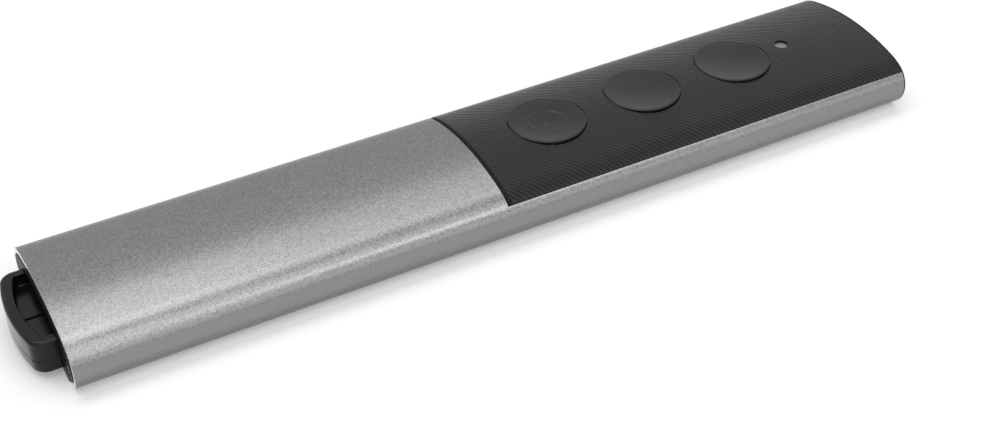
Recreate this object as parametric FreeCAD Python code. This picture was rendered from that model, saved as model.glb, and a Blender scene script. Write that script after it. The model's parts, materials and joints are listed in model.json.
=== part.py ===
import FreeCAD, Part
import math
import os

# Wireless presentation clicker, in millimetres.
# X runs along the body towards the laser end, Y across it, Z up.
# The origin is under the middle of the whole clicker, on the surface that it lies on.

# Sleeve: one flat aluminium extrusion with a crowned top and a flat base
sleeve_length = 146.5
sleeve_width = 30.0
sleeve_height = 10.12
sleeve_wall = 0.8
sleeve_rim_chamfer = 0.12
side_radius_share = 0.413
crown_slope_share = 0.407
shoulder_slope_share = 0.798

# Clearances and helpers shared by several pieces
slide_in_gap = 0.05
seat_gap = 0.05
screw_hole_gap = 0.02
overrun = 1.0

# Button panel: a ribbed black cover that closes the front half of the crown
panel_rear_margin = 14.2
panel_side_margin = 1.25
panel_thickness = 1.2
panel_side_gap = 0.06
panel_rear_gap = 0.7
panel_edge_round = 0.18
panel_foot_gap = 0.05
panel_clip_length = 5.0
panel_clip_width = 0.8
panel_clip_depth = 1.3
panel_clip_inset = 1.15
panel_clip_shares = (0.08, 0.5, 0.85)

# Buttons: three round dished caps in one row
button_names = ("front", "middle", "rear")
marked_button = "rear"
button_hole_radius = 6.57
button_pitch = 18.25
button_led_spacing = 10.43
button_gap = 0.15
button_rim_drop = 0.02
button_rim_land = 0.3
button_rim_round = 0.15
button_dish_depth = 0.55
button_skin = 0.75
button_wall = 1.0
button_lip = 0.75
button_lip_thickness = 0.6
button_stem_radius = 1.3
button_travel = 0.35
button_mark_radius = 3.4
button_mark_width = 0.45
button_mark_height = 0.08
button_dot_radius = 0.6
button_dot_depth = 0.1

# Switches under the buttons
switch_side = 5.2
switch_height = 1.0
switch_base = 0.15
plunger_radius = 1.25
plunger_gap = 0.06

# Coin cell and its contacts
cell_radius = 10.0
cell_height = 3.2
cell_side_gap = 0.25
cell_rim_round = 0.3
contact_dip_share = 0.046
contact_sheet = 0.15
contact_leaf_width = 3.0
contact_leaf_length = 9.0
contact_tab_width = 6.0
contact_tab_gap = 0.08
contact_tab_drop = 2.6

# Main board and what is soldered to it
board_thickness = 1.0
board_side_margin = 3.4
board_corner_radius = 1.0
board_bay_gap = 1.4
board_screw_radius = 0.6
board_screw_head_radius = 1.4
board_screw_head_height = 0.7
board_screw_length = 2.6
board_screw_slot_width = 0.35
board_screw_slot_depth = 0.3
chip_side = 5.0
chip_height = 0.9
chip_place_share = 0.42
crystal_length = 3.2
crystal_width = 2.5
crystal_height = 0.8
crystal_offset = 6.0
antenna_length = 3.2
antenna_width = 1.6
antenna_height = 1.1
antenna_offset = 7.0
passive_length = 1.0
passive_width = 0.5
passive_height = 0.4
passive_pitch = 1.6
passive_rows = 2
passives_per_row = 5
passive_row_offset = 4.2

# Status light and its clear guide
led_edge_setback = 1.77
led_length = 1.6
led_width = 0.8
led_height = 0.6
guide_radius = 1.2
guide_hole_gap = 0.04
guide_recess = 0.4
guide_collar_radius = 1.7
guide_collar_height = 0.7

# Laser module behind the front cap
laser_radius = 3.0
laser_wall = 0.8
laser_length = 10.9
laser_front_setback = 1.65
laser_lens_thickness = 1.2
laser_lens_recess = 0.6
laser_fit_gap = 0.04
diode_base_thickness = 1.0
diode_can_radius = 1.4
diode_can_length = 2.2
diode_pin_radius = 0.2
diode_pin_spread = 0.9
diode_pin_length = 1.35

# Front cap with the laser opening
front_flange = 0.3
front_flange_round = 0.12
front_plug_depth = 2.2
front_window_radius = 2.3
front_window_thickness = 0.6
front_window_recess = 0.35
front_bore_radius = 1.5
front_hook_width = 2.0
front_hook_length = 4.2
front_hook_thickness = 0.8
front_hook_barb = 0.7
front_hook_side_gap = 1.25

# Chassis: the moulded tray that slides into the sleeve and carries the insides
chassis_wall = 0.8
chassis_ledge = 0.6
chassis_boss_radius = 1.9
chassis_post_radius = 1.2
chassis_roof_share = 0.45
chassis_bay_end = 1.0
chassis_rib_width = 1.0
chassis_cradle_wall = 1.2

# Rear cap with the mouth of the receiver bay; its foot closes a notch in the sleeve's base
rear_cap_proud = 0.12
rear_cap_thickness = 1.6
rear_foot_inset = 0.1
rear_screw_side_margin = 3.65
rear_screw_height_share = 0.326
rear_screw_radius = 0.7
rear_screw_length = 6.0
rear_screw_head_radius = 1.25
rear_screw_head_height = 0.55
rear_screw_seat_depth = 0.6
rear_screw_cross_width = 0.35
rear_screw_cross_depth = 0.3

# Receiver head: two shells around a small board
head_overhang = 4.9
head_inside = 4.6
head_side_margin = 6.0
head_cheek = 0.585
head_level_share = 0.27
head_split_share = 0.376
head_nose_bow = 1.35
head_corner_radius = 2.3
head_edge_round = 0.55
head_wall = 0.9
head_gap = 0.15
head_seam_gap = 0.06
head_seam_depth = 0.25
pocket_nose_wall = 1.7
pocket_side_wall = 1.45
pocket_front_wall = 1.6
pocket_corner_radius = 0.5
pocket_rib_width = 0.9
pocket_rib_height = 0.25
receiver_board_thickness = 0.8
receiver_board_gap = 0.1
receiver_board_side_margin = 2.9
receiver_board_post = 0.25
receiver_chip_side = 3.0
receiver_chip_height = 0.5
receiver_chip_gap = 0.24

# Plug of the receiver, the standard flat type
plug_width = 12.0
plug_height = 4.5
plug_length = 12.0
plug_wall = 0.3
plug_corner_radius = 0.5
plug_tail = 0.9
plug_gap = 0.15
plug_end_gap = 0.5
plug_window_side = 2.3
plug_window_spread = 5.2
plug_window_setback = 4.6
tongue_thickness = 1.9
tongue_setback = 0.5
pin_count = 4
pin_pitch = 2.3
pin_width = 1.0
pin_thickness = 0.15
pin_setback = 1.0

# Leaf spring that keeps the receiver in its bay
leaf_width = 4.0
leaf_slot_gap = 0.3
leaf_sheet = 0.2
leaf_anchor = 2.6
leaf_length = 9.0
leaf_gap = 0.08

# Battery door in the base
door_end_margin = 1.9
door_side_margin = 0.6
door_gap = 0.15
door_bay_gap = 1.2
door_rib_height_share = 0.41
door_rib_width = 0.8
door_rib_offset = 4.0
door_rib_share = 0.55
door_corner_radius = 1.2
door_hook_reach = 1.1
door_hook_width = 3.0
door_hook_offset = 6.2
door_hook_thickness = 0.6
door_hook_root = 1.5
door_latch_width = 5.0
door_latch_height = 1.4
door_latch_thickness = 0.7
door_notch_width = 7.0
door_notch_length = 1.6
door_notch_depth = 0.35

# Stations along X
half_width = sleeve_width / 2
overall_length = head_overhang + sleeve_length + front_flange
front_face_x = overall_length / 2
front_end_x = front_face_x - front_flange
rear_end_x = front_end_x - sleeve_length
nose_x = rear_end_x - head_overhang
laser_front_x = front_end_x - laser_front_setback
laser_rear_x = laser_front_x - laser_length
board_front_x = laser_rear_x - diode_pin_length
led_x = board_front_x - led_edge_setback
front_button_x = led_x - button_led_spacing
button_xs = [front_button_x - row * button_pitch for row in range(len(button_names))]
panel_rear_x = button_xs[-1] - panel_rear_margin
panel_length = front_end_x - panel_rear_x
panel_half_width = half_width - panel_side_margin
cap_face_x = rear_end_x - rear_cap_proud
cap_back_x = cap_face_x + rear_cap_thickness
head_front_x = rear_end_x + head_inside
plug_front_x = head_front_x + plug_length
bay_end_x = plug_front_x + plug_end_gap
bay_wall_x = bay_end_x + chassis_bay_end
door_rear_x = bay_wall_x + door_bay_gap
cell_x = door_rear_x + door_end_margin + cell_radius
door_front_x = cell_x + cell_radius + door_end_margin
door_length = door_front_x - door_rear_x
door_half_width = cell_radius + door_side_margin
board_rear_x = bay_wall_x + board_bay_gap
board_half_width = half_width - board_side_margin
chassis_front_x = front_end_x - front_plug_depth - seat_gap

# Levels along Z: what the stack leaves is shared by the door's ribs, the contact and the stems
chassis_inset = sleeve_wall + slide_in_gap
chassis_floor_z = chassis_inset + chassis_wall
button_top_stack = button_skin + button_dish_depth + button_rim_drop
cell_stack = sleeve_wall + seat_gap + cell_height + seat_gap + contact_sheet
board_stack = board_thickness + switch_height + button_travel
spare_height = sleeve_height - cell_stack - board_stack - button_top_stack
door_rib_height = spare_height * door_rib_height_share
cell_z = sleeve_wall + door_rib_height + seat_gap
contact_tip_z = cell_z + cell_height + seat_gap
board_z = contact_tip_z + contact_sheet + spare_height * contact_dip_share
board_top_z = board_z + board_thickness
switch_top_z = board_top_z + switch_height
plunger_top_z = switch_top_z + button_travel
button_rim_z = sleeve_height - button_rim_drop
laser_z = (chassis_inset + sleeve_height - panel_thickness) / 2
rear_screw_z = sleeve_height * rear_screw_height_share
rear_screw_y = half_width - rear_screw_side_margin
head_width = sleeve_width - head_side_margin * 2
head_thickness = plug_height + head_cheek * 2
head_bottom = (sleeve_height - head_thickness) * head_level_share
head_top_z = head_bottom + head_thickness
head_split_z = head_bottom + head_thickness * head_split_share
plug_z = head_bottom + (head_thickness - plug_height) / 2
plug_top_z = plug_z + plug_height
receiver_board_z = head_bottom + head_wall + receiver_board_post + seat_gap
receiver_board_top_z = receiver_board_z + receiver_board_thickness
pocket_floor_z = receiver_board_top_z + receiver_chip_height + receiver_chip_gap + head_wall
ledge_y = cell_radius + cell_side_gap + chassis_ledge
front_hook_y = ledge_y - front_hook_side_gap - front_hook_width / 2
head_half = head_width / 2

# Arcs of the section, each tangent to the next: crown, shoulder and side
side_radius = sleeve_height * side_radius_share
crown_angle = math.atan(crown_slope_share * sleeve_height / half_width)
shoulder_angle = math.atan(shoulder_slope_share * sleeve_height / half_width)
drop = sleeve_height - side_radius * (1 + math.cos(shoulder_angle))
run = half_width - side_radius * (1 - math.sin(shoulder_angle))
crown_fall = 1 - math.cos(crown_angle)
crown_reach = math.sin(crown_angle)
shoulder_fall = math.cos(crown_angle) - math.cos(shoulder_angle)
shoulder_reach = math.sin(shoulder_angle) - math.sin(crown_angle)
balance = crown_fall * shoulder_reach - shoulder_fall * crown_reach
crown_radius = (drop * shoulder_reach - shoulder_fall * run) / balance
shoulder_radius = (crown_fall * run - crown_reach * drop) / balance
crown_centre_z = sleeve_height - crown_radius
side_centre_y = half_width - side_radius
rear_foot_half = side_centre_y - rear_foot_inset
shoulder_centre_y = (crown_radius - shoulder_radius) * crown_reach
shoulder_centre_z = crown_centre_z + (crown_radius - shoulder_radius) * math.cos(crown_angle)


def at(x, y, z):
    return FreeCAD.Vector(x, y, z)


def box(x0, x1, y0, y1, z0, z1):
    return Part.makeBox(x1 - x0, y1 - y0, z1 - z0, at(x0, y0, z0))


def disc(x, y, z0, z1, radius):
    return Part.makeCylinder(radius, z1 - z0, at(x, y, z0), at(0, 0, 1))


def rod(x0, x1, y, z, radius):
    return Part.makeCylinder(radius, x1 - x0, at(x0, y, z), at(1, 0, 0))


def joined(pieces):
    return pieces[0].fuse(pieces[1:]).removeSplitter()


def rounded_block(x0, x1, y0, y1, z0, z1, radius):
    """A block with its four upright edges rounded."""
    block = box(x0, x1, y0, y1, z0, z1)
    upright = [e for e in block.Edges if abs(e.Vertexes[0].Z - e.Vertexes[1].Z) > radius / 2]
    return block.makeFillet(radius, upright)


def rounded_bar(x0, x1, half, z0, z1, radius):
    """A bar along X, centred on Y, with its four long edges rounded."""
    bar = box(x0, x1, -half, half, z0, z1)
    long_edges = [e for e in bar.Edges if abs(e.Vertexes[0].X - e.Vertexes[1].X) > radius / 2]
    return bar.makeFillet(radius, long_edges)


def section_arc(x, centre_y, centre_z, radius, start, end):
    """An arc across the body; its angles run from straight up towards +Y."""
    points = []
    for angle in (start, (start + end) / 2, end):
        y = centre_y + radius * math.sin(angle)
        z = centre_z + radius * math.cos(angle)
        points.append(at(x, y, z))
    return Part.Arc(points[0], points[1], points[2]).toShape()


def section_solid(x0, x1, inset):
    """The body's section, drawn in by an inset, from x0 to x1."""
    crown = crown_radius - inset
    shoulder = shoulder_radius - inset
    side = side_radius - inset
    foot_left = at(x0, -side_centre_y, inset)
    foot_right = at(x0, side_centre_y, inset)
    edges = [
        section_arc(x0, 0, crown_centre_z, crown, -crown_angle, crown_angle),
        section_arc(x0, shoulder_centre_y, shoulder_centre_z, shoulder, crown_angle, shoulder_angle),
        section_arc(x0, side_centre_y, side_radius, side, shoulder_angle, math.pi),
        Part.LineSegment(foot_right, foot_left).toShape(),
        section_arc(x0, -side_centre_y, side_radius, side, -math.pi, -shoulder_angle),
        section_arc(x0, -shoulder_centre_y, shoulder_centre_z, shoulder, -shoulder_angle, -crown_angle),
    ]
    return Part.Face(Part.Wire(edges)).extrude(at(x1 - x0, 0, 0))


def crown_height(y, inset):
    """Height of the crown's surface, drawn in by an inset, at a distance y from the middle."""
    return crown_centre_z + math.sqrt((crown_radius - inset) ** 2 - y ** 2)


def bay_roof_level():
    """Top of the receiver's bay, with room for the leaf spring under the sleeve."""
    mouth_top = head_top_z + head_gap
    leaf_ceiling = crown_height(leaf_width / 2, chassis_inset) - leaf_sheet
    return mouth_top + (leaf_ceiling - mouth_top) * chassis_roof_share


def body_sleeve():
    sleeve = section_solid(rear_end_x, front_end_x, 0)
    rear_rim = [e for e in sleeve.Edges if e.BoundBox.XMax < rear_end_x + overrun]
    sleeve = sleeve.makeChamfer(sleeve_rim_chamfer, rear_rim)
    bore = section_solid(rear_end_x - overrun, front_end_x + overrun, sleeve_wall)
    window_y = panel_half_width + panel_side_gap
    window_x = panel_rear_x - panel_rear_gap
    top_z = sleeve_height + overrun
    window = box(window_x, front_end_x + overrun, -window_y, window_y, side_radius, top_z)
    door_y = door_half_width + door_gap
    door_x0 = door_rear_x - door_gap
    door_x1 = door_front_x + door_gap
    radius = door_corner_radius + door_gap
    doorway = rounded_block(door_x0, door_x1, -door_y, door_y, -overrun, side_radius, radius)
    foot_y = rear_foot_half + seat_gap
    notch = box(rear_end_x - overrun, cap_back_x + seat_gap, -foot_y, foot_y, -overrun, side_radius)
    return sleeve.cut(bore).cut(window).cut(doorway).cut(notch)


def panel_clip_boxes(grow):
    """The panel's clips, or the slots for them when grown by a clearance."""
    boxes = []
    inner_y = panel_half_width - panel_clip_inset - panel_clip_width
    outer_y = panel_half_width - panel_clip_inset
    for share in panel_clip_shares:
        x = panel_rear_x + share * panel_length
        x0 = x - panel_clip_length / 2 - grow
        x1 = x + panel_clip_length / 2 + grow
        z0 = board_z - panel_clip_depth - grow
        boxes.append(box(x0, x1, inner_y - grow, outer_y + grow, z0, sleeve_height))
        boxes.append(box(x0, x1, -outer_y - grow, -inner_y + grow, z0, sleeve_height))
    return boxes


def button_panel():
    skin = section_solid(panel_rear_x, front_end_x, 0)
    rear_edge = [e for e in skin.Edges if e.BoundBox.XMax < panel_rear_x + overrun]
    skin = skin.makeFillet(panel_edge_round, rear_edge)
    hollow = section_solid(panel_rear_x - overrun, front_end_x + overrun, panel_thickness)
    foot_z = board_z + panel_foot_gap
    y = panel_half_width
    reach = box(panel_rear_x - overrun, front_end_x + overrun, -y, y, foot_z, sleeve_height + overrun)
    panel = skin.cut(hollow).common(reach)
    clips = section_solid(panel_rear_x, front_end_x, panel_thickness / 2)
    clips = clips.common(Part.makeCompound(panel_clip_boxes(0)))
    panel = joined([panel] + clips.Solids)
    for x in button_xs:
        panel = panel.cut(disc(x, 0, board_top_z, sleeve_height + overrun, button_hole_radius))
    guide_hole = guide_radius + guide_hole_gap
    return panel.cut(disc(led_x, 0, board_top_z, sleeve_height + overrun, guide_hole))


def dish_ball(x, grow):
    """The ball whose lowest part hollows a button's top, grown by a depth."""
    rim = button_hole_radius - button_gap - button_rim_land
    radius = (rim ** 2 + button_dish_depth ** 2) / (2 * button_dish_depth)
    return Part.makeSphere(radius + grow, at(x, 0, button_rim_z - button_dish_depth + radius))


def button_cap(x):
    """A round cap with a planar rim, a shallow dish and a lip below the panel."""
    cap_radius = button_hole_radius - button_gap
    lip_radius = button_hole_radius + button_lip
    lip_top = crown_height(lip_radius, panel_thickness) - seat_gap
    lip_bottom = lip_top - button_lip_thickness
    ceiling = button_rim_z - button_dish_depth - button_skin
    barrel = disc(x, 0, lip_bottom, button_rim_z, cap_radius)
    top_edge = [e for e in barrel.Edges if e.BoundBox.ZMin > button_rim_z - button_rim_round]
    barrel = barrel.makeFillet(button_rim_round, top_edge)
    cap = barrel.fuse(disc(x, 0, lip_bottom, lip_top, lip_radius))
    cap = cap.cut(dish_ball(x, 0))
    cap = cap.cut(disc(x, 0, lip_bottom - overrun, ceiling, cap_radius - button_wall))
    stem = disc(x, 0, plunger_top_z, ceiling + button_skin / 2, button_stem_radius)
    return joined([cap, stem])


def marked_cap(x):
    """A button cap with a low ring for the fingertip and a shallow dot inside it."""
    low_z = button_rim_z - button_dish_depth - button_skin
    ring = disc(x, 0, low_z, button_rim_z, button_mark_radius)
    ring = ring.cut(disc(x, 0, low_z, button_rim_z, button_mark_radius - button_mark_width))
    ring = ring.common(dish_ball(x, button_skin / 2)).cut(dish_ball(x, -button_mark_height))
    dot = disc(x, 0, low_z, button_rim_z, button_dot_radius).common(dish_ball(x, button_dot_depth))
    return joined([button_cap(x), ring]).cut(dot)


def switch_body(x):
    half = switch_side / 2
    body = box(x - half, x + half, -half, half, board_top_z, switch_top_z)
    well_z = board_top_z + switch_base
    return body.cut(disc(x, 0, well_z, switch_top_z + overrun, plunger_radius + plunger_gap))


def switch_plunger(x):
    bottom = board_top_z + switch_base + button_travel + seat_gap
    return disc(x, 0, bottom, plunger_top_z, plunger_radius)


def button_middles():
    """Points on the board half way between neighbouring buttons."""
    return [(button_xs[i] + button_xs[i + 1]) / 2 for i in range(len(button_xs) - 1)]


def board_screw_xs():
    beside_door = door_front_x + door_hook_reach + chassis_boss_radius * 2
    return [beside_door] + button_middles()


def main_board():
    y = board_half_width
    board = rounded_block(board_rear_x, board_front_x, -y, y, board_z, board_top_z, board_corner_radius)
    for x in board_screw_xs():
        board = board.cut(disc(x, 0, board_z, board_top_z, board_screw_radius + screw_hole_gap))
    return board


def board_screws():
    screws = []
    for x in board_screw_xs():
        head_top = board_top_z + board_screw_head_height
        head = disc(x, 0, board_top_z, head_top, board_screw_head_radius)
        shank = disc(x, 0, board_top_z - board_screw_length, board_top_z, board_screw_radius)
        screw = joined([head, shank])
        y = board_screw_head_radius
        half = board_screw_slot_width / 2
        slot_z = head_top - board_screw_slot_depth
        slot = box(x - half, x + half, -y, y, slot_z, head_top + overrun)
        screws.append(screw.cut(slot))
    return Part.makeCompound(screws)


def chip_place():
    """The chip lies between the screw beside the door and the rear button's switch."""
    return board_screw_xs()[0] + (button_xs[-1] - board_screw_xs()[0]) * chip_place_share


def radio_chip():
    x = chip_place()
    half = chip_side / 2
    return box(x - half, x + half, -half, half, board_top_z, board_top_z + chip_height)


def crystal():
    x = chip_place()
    half = crystal_length / 2
    y0 = crystal_offset - crystal_width / 2
    y1 = crystal_offset + crystal_width / 2
    return box(x - half, x + half, y0, y1, board_top_z, board_top_z + crystal_height)


def board_antenna():
    x1 = led_x - led_length
    x0 = x1 - antenna_length
    y0 = antenna_offset - antenna_width / 2
    y1 = antenna_offset + antenna_width / 2
    return box(x0, x1, y0, y1, board_top_z, board_top_z + antenna_height)


def board_passives():
    first = chip_place() - passive_pitch * (passives_per_row - 1) / 2
    parts = []
    for row in range(passive_rows):
        y = -passive_row_offset - row * passive_pitch
        for i in range(passives_per_row):
            x = first + i * passive_pitch
            half_x = passive_length / 2
            half_y = passive_width / 2
            top = board_top_z + passive_height
            parts.append(box(x - half_x, x + half_x, y - half_y, y + half_y, board_top_z, top))
    return Part.makeCompound(parts)


def status_led():
    half_x = led_length / 2
    half_y = led_width / 2
    top = board_top_z + led_height
    return box(led_x - half_x, led_x + half_x, -half_y, half_y, board_top_z, top)


def light_guide():
    top = sleeve_height - guide_recess
    collar_top = crown_height(guide_collar_radius, panel_thickness) - seat_gap
    pin = disc(led_x, 0, board_top_z + led_height + seat_gap, top, guide_radius)
    collar = disc(led_x, 0, collar_top - guide_collar_height, collar_top, guide_collar_radius)
    return joined([pin, collar])


def coin_cell():
    cell = disc(cell_x, 0, cell_z, cell_z + cell_height, cell_radius)
    return cell.makeFillet(cell_rim_round, [e for e in cell.Edges if len(e.Vertexes) == 1])


def battery_contact_top():
    """A leaf under the board whose free end dips to the cell."""
    half = contact_leaf_width / 2
    x0 = cell_x - contact_leaf_length / 2
    x1 = cell_x + contact_leaf_length / 2
    base_z = board_z - contact_sheet
    bend_x = x0 + contact_leaf_length / 2
    outline = [at(x0, -half, board_z), at(x0, -half, base_z), at(bend_x, -half, base_z)]
    outline += [at(x1, -half, contact_tip_z), at(x1, -half, contact_tip_z + contact_sheet)]
    outline += [at(bend_x, -half, board_z)]
    face = Part.Face(Part.makePolygon(outline + [outline[0]]))
    return face.extrude(at(0, contact_leaf_width, 0))


def battery_contact_side():
    """An upright tab under the board that meets the cell's rim."""
    x0 = cell_x + cell_radius + contact_tab_gap
    half = contact_tab_width / 2
    tab = box(x0, x0 + contact_sheet, -half, half, board_z - contact_tab_drop, board_z)
    foot_x = x0 + contact_leaf_width / 2
    foot = box(x0, foot_x, -half, half, board_z - contact_sheet, board_z)
    return joined([tab, foot])


def laser_barrel():
    barrel = rod(laser_rear_x, laser_front_x, 0, laser_z, laser_radius)
    bore = rod(laser_rear_x - overrun, laser_front_x + overrun, 0, laser_z, laser_radius - laser_wall)
    return barrel.cut(bore)


def laser_lens():
    x1 = laser_front_x - laser_lens_recess
    x0 = x1 - laser_lens_thickness
    return rod(x0, x1, 0, laser_z, laser_radius - laser_wall - laser_fit_gap)


def laser_diode():
    x1 = laser_rear_x + diode_base_thickness
    base = rod(laser_rear_x, x1, 0, laser_z, laser_radius - laser_wall - laser_fit_gap)
    return joined([base, rod(x1, x1 + diode_can_length, 0, laser_z, diode_can_radius)])


def laser_leads():
    pins = []
    for y in (-diode_pin_spread, diode_pin_spread):
        pins.append(rod(board_front_x + seat_gap, laser_rear_x, y, laser_z, diode_pin_radius))
    return Part.makeCompound(pins)


def front_cap():
    """A thin flange on the body's outline and a plug inside it, with two hooks."""
    flange = section_solid(front_end_x, front_face_x, 0)
    face_edges = [e for e in flange.Edges if e.BoundBox.XMin > front_face_x - front_flange / 2]
    flange = flange.makeFillet(front_flange_round, face_edges)
    plug_x = front_end_x - front_plug_depth
    low = section_solid(plug_x, front_end_x, chassis_inset)
    low = low.common(box(plug_x, front_end_x, -half_width, half_width, 0, board_z))
    high = section_solid(plug_x, front_end_x, panel_thickness + slide_in_gap)
    pieces = [flange, low, high]
    hook_z = board_z - front_hook_thickness
    rib_z = hook_z - seat_gap
    tip_x = plug_x - front_hook_length
    for middle in (-front_hook_y, front_hook_y):
        y0 = middle - front_hook_width / 2
        y1 = middle + front_hook_width / 2
        arm = box(tip_x, plug_x, y0, y1, hook_z, board_z)
        barb_x = tip_x + front_hook_barb
        pieces += [arm, box(tip_x, barb_x, y0, y1, rib_z - front_hook_barb, board_z)]
    cap = joined(pieces)
    cap = cap.cut(rod(plug_x - overrun, front_face_x + overrun, 0, laser_z, front_bore_radius))
    window_x = front_face_x - front_window_recess - front_window_thickness
    seat = front_window_radius + seat_gap
    cap = cap.cut(rod(window_x, front_face_x + overrun, 0, laser_z, seat))
    barrel_seat = laser_radius + laser_fit_gap
    return cap.cut(rod(plug_x - overrun, laser_front_x + laser_fit_gap, 0, laser_z, barrel_seat))


def laser_window():
    x1 = front_face_x - front_window_recess
    return rod(x1 - front_window_thickness, x1, 0, laser_z, front_window_radius)


def receiver_bay_cuts():
    """The stepped space for the receiver's head, open to the sleeve's base, and for its plug."""
    z0 = chassis_inset - overrun
    z1 = head_top_z + head_gap
    half = head_half + head_gap
    radius = head_edge_round
    mouth = rounded_bar(cap_back_x - overrun, head_front_x + head_gap, half, z0, z1, radius)
    half = plug_width / 2 + plug_gap
    z0 = plug_z - plug_gap
    z1 = plug_top_z + plug_gap
    return [mouth, rounded_bar(head_front_x, bay_end_x, half, z0, z1, plug_corner_radius)]


def leaf_slot_x0():
    return head_front_x + head_gap + chassis_rib_width


def chassis_tray():
    """An open channel along the sleeve with thick sides that carry the board."""
    tray = section_solid(cap_back_x, chassis_front_x, chassis_inset)
    tray = tray.common(box(cap_back_x, chassis_front_x, -half_width, half_width, 0, board_z))
    hollow = section_solid(bay_wall_x, chassis_front_x + overrun, chassis_inset + chassis_wall)
    return tray.cut(hollow.common(box(bay_wall_x, front_face_x, -ledge_y, ledge_y, 0, sleeve_height)))


def chassis_bay():
    """The block at the rear that the receiver slides into."""
    block = section_solid(cap_back_x, bay_wall_x, chassis_inset)
    return block.common(box(cap_back_x, bay_wall_x, -half_width, half_width, 0, bay_roof_level()))


def chassis_supports():
    """Bosses, posts, the laser's cradle and the ribs that the front cap's hooks hold."""
    pieces = [disc(x, 0, chassis_inset, board_z, chassis_boss_radius) for x in board_screw_xs()]
    pieces += [disc(x, 0, chassis_inset, board_z, chassis_post_radius) for x in button_xs]
    half = laser_radius + chassis_cradle_wall
    cradle_x = board_front_x + chassis_cradle_wall
    pieces.append(box(cradle_x, chassis_front_x, -half, half, chassis_inset, laser_z))
    tip_x = front_end_x - front_plug_depth - front_hook_length
    rib_x0 = tip_x + front_hook_barb + seat_gap
    rib_top = board_z - front_hook_thickness - seat_gap * 2
    rib_x1 = rib_x0 + chassis_rib_width
    rib_y = front_hook_y - front_hook_width
    inside = section_solid(rib_x0, rib_x1, chassis_inset)
    for y0, y1 in ((-half_width, -rib_y), (rib_y, half_width)):
        pieces.append(inside.common(box(rib_x0, rib_x1, y0, y1, 0, rib_top)))
    return pieces


def chassis():
    shape = joined([chassis_tray(), chassis_bay()] + chassis_supports())
    cuts = receiver_bay_cuts() + panel_clip_boxes(slide_in_gap)
    cuts.append(disc(cell_x, 0, 0, board_z + overrun, cell_radius + cell_side_gap))
    cradle_x = board_front_x + chassis_cradle_wall
    barrel_seat = laser_radius + laser_fit_gap
    cuts.append(rod(cradle_x - overrun, chassis_front_x + overrun, 0, laser_z, barrel_seat))
    tab_x1 = cell_x + cell_radius + contact_tab_gap + contact_leaf_width
    tab_y = contact_tab_width / 2 + slide_in_gap
    tab_z = board_z - contact_tab_drop - seat_gap
    cuts.append(box(cell_x, tab_x1, -tab_y, tab_y, tab_z, board_z + overrun))
    reach = door_hook_reach + door_hook_thickness + door_gap * 2
    for middle in (-door_hook_offset, door_hook_offset):
        y0 = middle - door_hook_width / 2 - door_gap
        y1 = middle + door_hook_width / 2 + door_gap
        x0 = door_front_x - door_hook_root - reach
        cuts.append(box(x0, door_front_x + reach, y0, y1, 0, chassis_floor_z + overrun))
    latch_y = door_latch_width / 2 + door_gap
    latch_x0 = door_rear_x - door_gap
    latch_x1 = door_rear_x + door_latch_thickness + door_gap + overrun
    cuts.append(box(latch_x0, latch_x1, -latch_y, latch_y, 0, chassis_floor_z + door_latch_height))
    for x in board_screw_xs():
        cuts.append(disc(x, 0, chassis_floor_z, board_z + overrun, board_screw_radius + screw_hole_gap))
    slot_x1 = leaf_slot_x0() + leaf_length + leaf_slot_gap
    slot_y = leaf_width / 2 + leaf_slot_gap
    cuts.append(box(leaf_slot_x0(), slot_x1, -slot_y, slot_y, plug_top_z, bay_roof_level() + overrun))
    for y in (-rear_screw_y, rear_screw_y):
        hole_end = cap_back_x + rear_screw_length
        hole_radius = rear_screw_radius + screw_hole_gap
        cuts.append(rod(cap_back_x - overrun, hole_end, y, rear_screw_z, hole_radius))
    for cut in cuts:
        shape = shape.cut(cut)
    return shape


def rear_cap():
    """The plate that closes the rear end around the receiver, with a foot down to the base."""
    x0 = cap_face_x
    plate = section_solid(x0, cap_back_x, chassis_inset)
    foot = box(x0, cap_back_x, -rear_foot_half, rear_foot_half, 0, chassis_floor_z)
    cap = joined([plate, foot])
    half = head_half + head_gap
    z0 = head_bottom - head_gap
    z1 = head_top_z + head_gap
    cap = cap.cut(rounded_bar(x0 - overrun, cap_back_x + overrun, half, z0, z1, head_edge_round))
    for y in (-rear_screw_y, rear_screw_y):
        hole_radius = rear_screw_radius + screw_hole_gap
        cap = cap.cut(rod(x0 - overrun, cap_back_x + overrun, y, rear_screw_z, hole_radius))
        seat_radius = rear_screw_head_radius + seat_gap
        seat_x = x0 + rear_screw_seat_depth
        cap = cap.cut(rod(x0 - overrun, seat_x, y, rear_screw_z, seat_radius))
    return cap


def rear_cap_screws():
    screws = []
    seat_x = cap_face_x + rear_screw_seat_depth
    for y in (-rear_screw_y, rear_screw_y):
        head_x = seat_x - rear_screw_head_height
        head = rod(head_x, seat_x, y, rear_screw_z, rear_screw_head_radius)
        shank = rod(seat_x, seat_x + rear_screw_length, y, rear_screw_z, rear_screw_radius)
        screw = joined([head, shank])
        half = rear_screw_cross_width / 2
        reach = rear_screw_head_radius - rear_screw_cross_width
        x1 = head_x + rear_screw_cross_depth
        z = rear_screw_z
        screw = screw.cut(box(head_x - overrun, x1, y - half, y + half, z - reach, z + reach))
        screw = screw.cut(box(head_x - overrun, x1, y - reach, y + reach, z - half, z + half))
        screws.append(screw)
    return Part.makeCompound(screws)


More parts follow.
